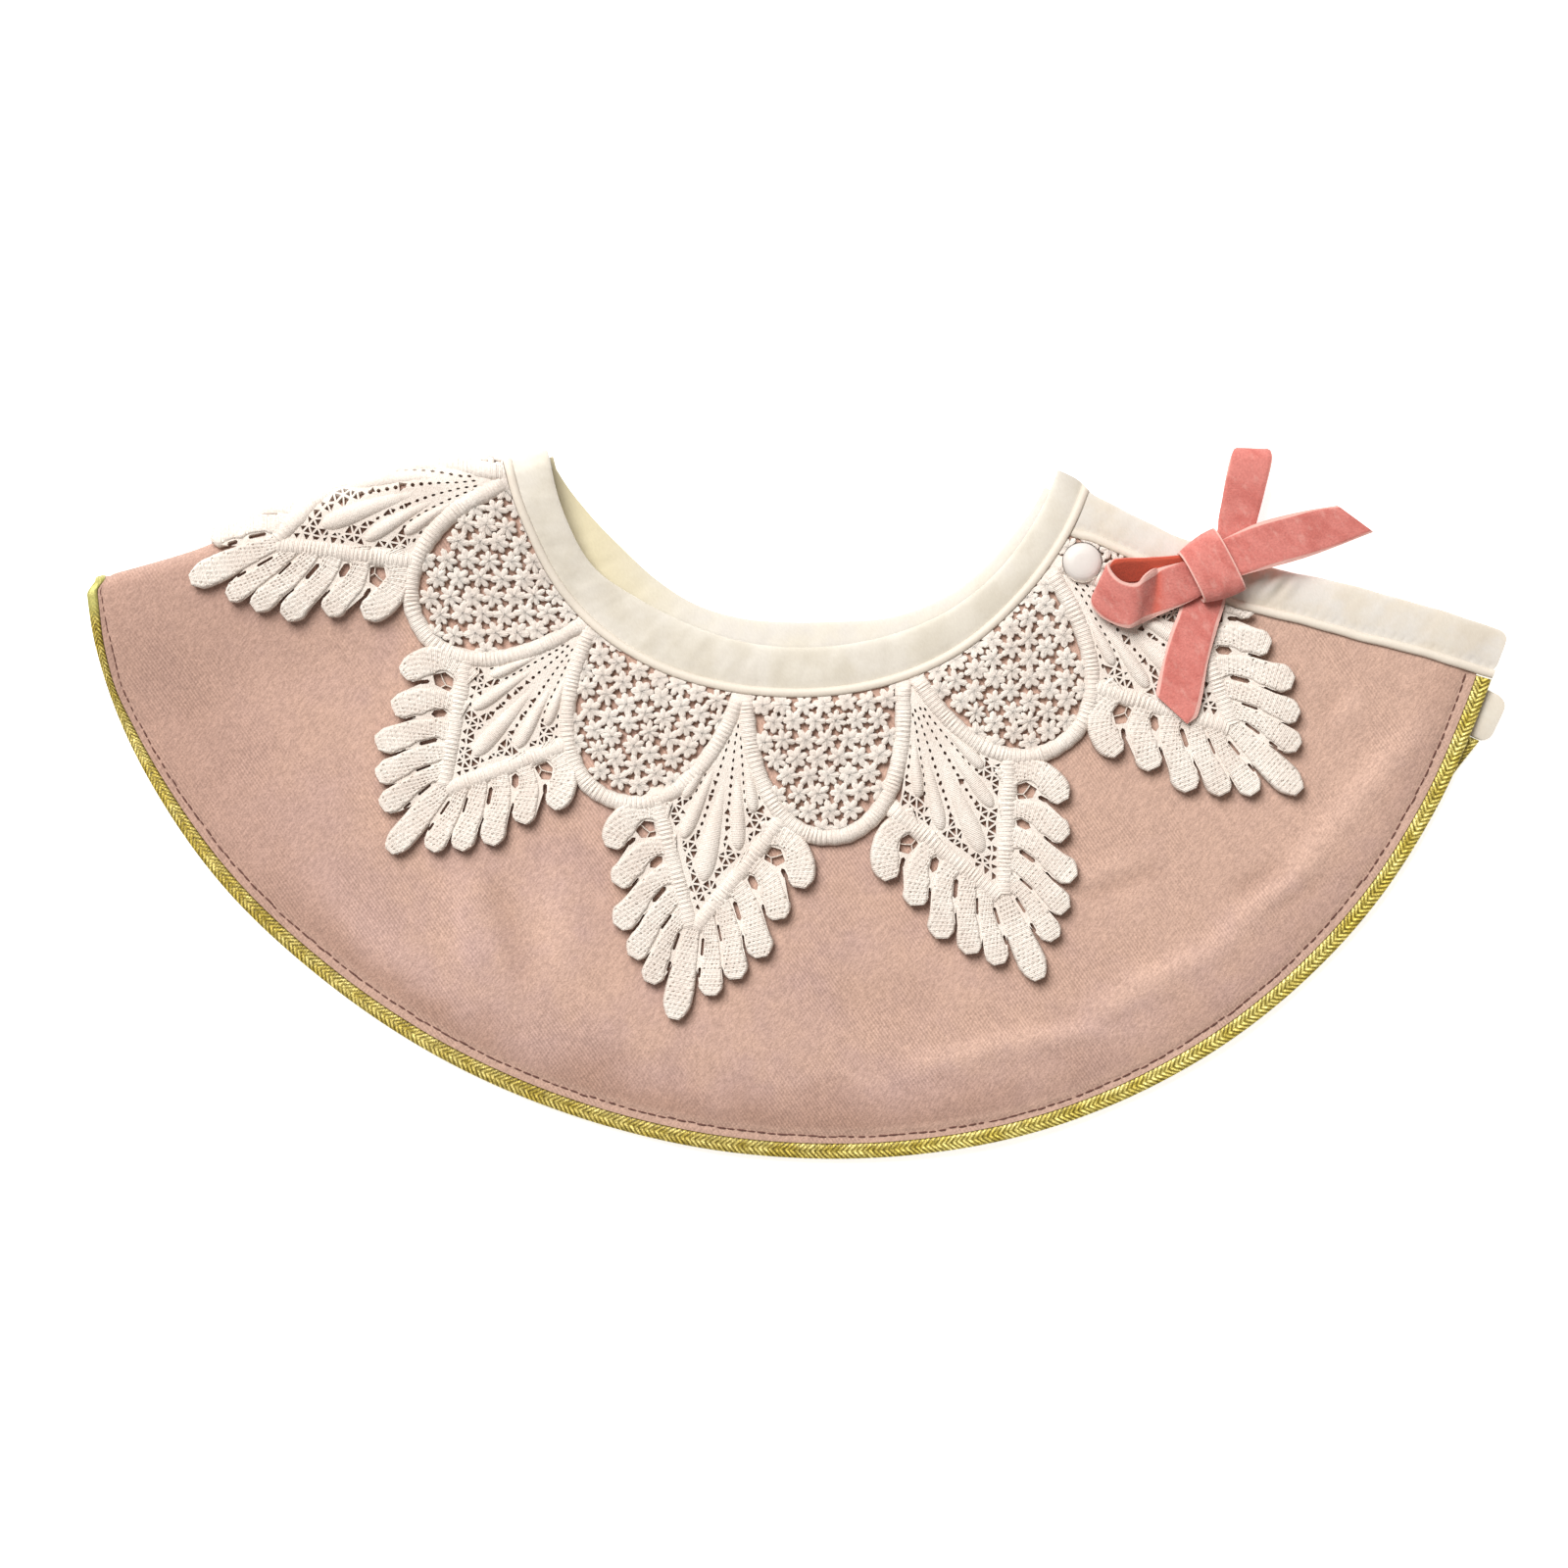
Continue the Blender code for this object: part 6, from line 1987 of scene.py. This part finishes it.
class BIB_OT_cloth(bpy.types.Operator):
    """Cut both halves of the outer cloth"""

    bl_idname = "bib.cloth"
    bl_label = "Outer Cloth"
    bl_options = {"REGISTER", "UNDO"}

    def execute(self, context):
        colours = context.scene.bib_colours
        twill = twill_finish(colours)
        back = make_cloth_back(twill)
        front = make_cloth_front(twill)
        stitches = make_hem_stitches(context.scene.bib_stitches, stitch_finish(colours))
        braids = make_braids(braid_finish(colours))
        return {"FINISHED"}


class BIB_OT_bindings(bpy.types.Operator):
    """Bind the neck and the opening, with their pipings"""

    bl_idname = "bib.bindings"
    bl_label = "Bindings and Pipings"
    bl_options = {"REGISTER", "UNDO"}

    def execute(self, context):
        colours = context.scene.bib_colours
        sateen = sateen_finish("cream_sateen", colours.cream, colours.cream_shade,
                               colours.cream_cool)
        crisp = sateen_finish("placket_sateen", colours.cream_cool, colours.cream_warm,
                              colours.cream)
        bias = sateen_finish("piping_sateen", colours.piping, scaled(colours.piping, 0.95),
                             colours.piping)
        pale = sateen_finish("neck_back_sateen", scaled(colours.cream_cool, 0.95), colours.cream,
                             colours.cream_cool, colours.fold_shade_cream)
        # A darker copy of the bindings' sateen: painted shade on the back opening's binding
        shaded_beige = sateen_finish("back_opening_shaded_sateen", colours.cream, colours.cream_warm,
                              colours.cream_warm)
        neck, neck_back, placket, placket_back = make_bands(sateen, pale, crisp, shaded_beige)
        neck_cord, placket_cord = make_pipings(bias)
        return {"FINISHED"}


class BIB_OT_lace(bpy.types.Operator):
    """Work the lace collar: ground, cords, drops, fingers and daisies"""

    bl_idname = "bib.lace"
    bl_label = "Lace Collar"
    bl_options = {"REGISTER", "UNDO"}

    def execute(self, context):
        colours = context.scene.bib_colours
        cotton = lace_finish(colours)
        ground = make_lace_ground(cotton)
        relief = [make_lace_cords(cotton), make_lace_drops(cotton),
                  make_lace_fingers(cotton), make_lace_daisies(cotton)]
        return {"FINISHED"}


class BIB_OT_snap(bpy.types.Operator):
    """Press in the cap of the snap"""

    bl_idname = "bib.snap"
    bl_label = "Snap"
    bl_options = {"REGISTER", "UNDO"}

    def execute(self, context):
        make_snap_cap(snap_finish(context.scene.bib_colours))
        return {"FINISHED"}


class BIB_OT_bow(bpy.types.Operator):
    """Tie the velvet bow"""

    bl_idname = "bib.bow"
    bl_label = "Velvet Bow"
    bl_options = {"REGISTER", "UNDO"}

    def execute(self, context):
        colours = context.scene.bib_colours
        velvet = velvet_finish(colours)
        left = make_ribbon("bow_left", LEFT_LOOP, velvet, ["bow_loop_left"], LEFT_DENT)
        upright = make_ribbon("bow_upright", UPRIGHT_LOOP, velvet, ["bow_loop_upright"])
        right = make_ribbon("bow_right", RIGHT_TAIL, velvet, ["bow_tail_right"])
        down = make_ribbon("bow_down", DOWN_TAIL, velvet, ["bow_tail_down"])
        wrap = make_knot(velvet)
        return {"FINISHED"}


class BIB_OT_stage(bpy.types.Operator):
    """Set the table, the light and the camera"""

    bl_idname = "bib.stage"
    bl_label = "Stage"
    bl_options = {"REGISTER", "UNDO"}

    def execute(self, context):
        make_stage(context.scene.bib_light, floor_finish(context.scene.bib_colours))
        return {"FINISHED"}


STEPS = (BIB_OT_cloth, BIB_OT_bindings, BIB_OT_lace, BIB_OT_snap, BIB_OT_bow, BIB_OT_stage)


class BIB_PT_sewing(bpy.types.Panel):
    """Steps and colours of the lace bib"""

    bl_idname = "BIB_PT_sewing"
    bl_label = "Lace Bib"
    bl_space_type = "VIEW_3D"
    bl_region_type = "UI"
    bl_category = "Lace Bib"

    def draw(self, context):
        for step in STEPS:
            self.layout.operator(step.bl_idname)
        scene = context.scene
        for group in (scene.bib_colours, scene.bib_stitches, scene.bib_light):
            for name in group.__annotations__:
                self.layout.prop(group, name)


CLASSES = (BibColours, BibStitches, BibLight, *STEPS, BIB_PT_sewing)


def register():
    for cls in CLASSES:
        bpy.utils.register_class(cls)
    bpy.types.Scene.bib_colours = bpy.props.PointerProperty(type=BibColours)
    bpy.types.Scene.bib_stitches = bpy.props.PointerProperty(type=BibStitches)
    bpy.types.Scene.bib_light = bpy.props.PointerProperty(type=BibLight)


def unregister():
    del bpy.types.Scene.bib_light
    del bpy.types.Scene.bib_stitches
    del bpy.types.Scene.bib_colours
    for cls in reversed(CLASSES):
        bpy.utils.unregister_class(cls)


def main():
    register()
    bpy.ops.bib.cloth()
    bpy.ops.bib.bindings()
    bpy.ops.bib.lace()
    bpy.ops.bib.snap()
    bpy.ops.bib.bow()
    bpy.ops.bib.stage()
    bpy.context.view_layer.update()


if __name__ == "__main__":
    main()
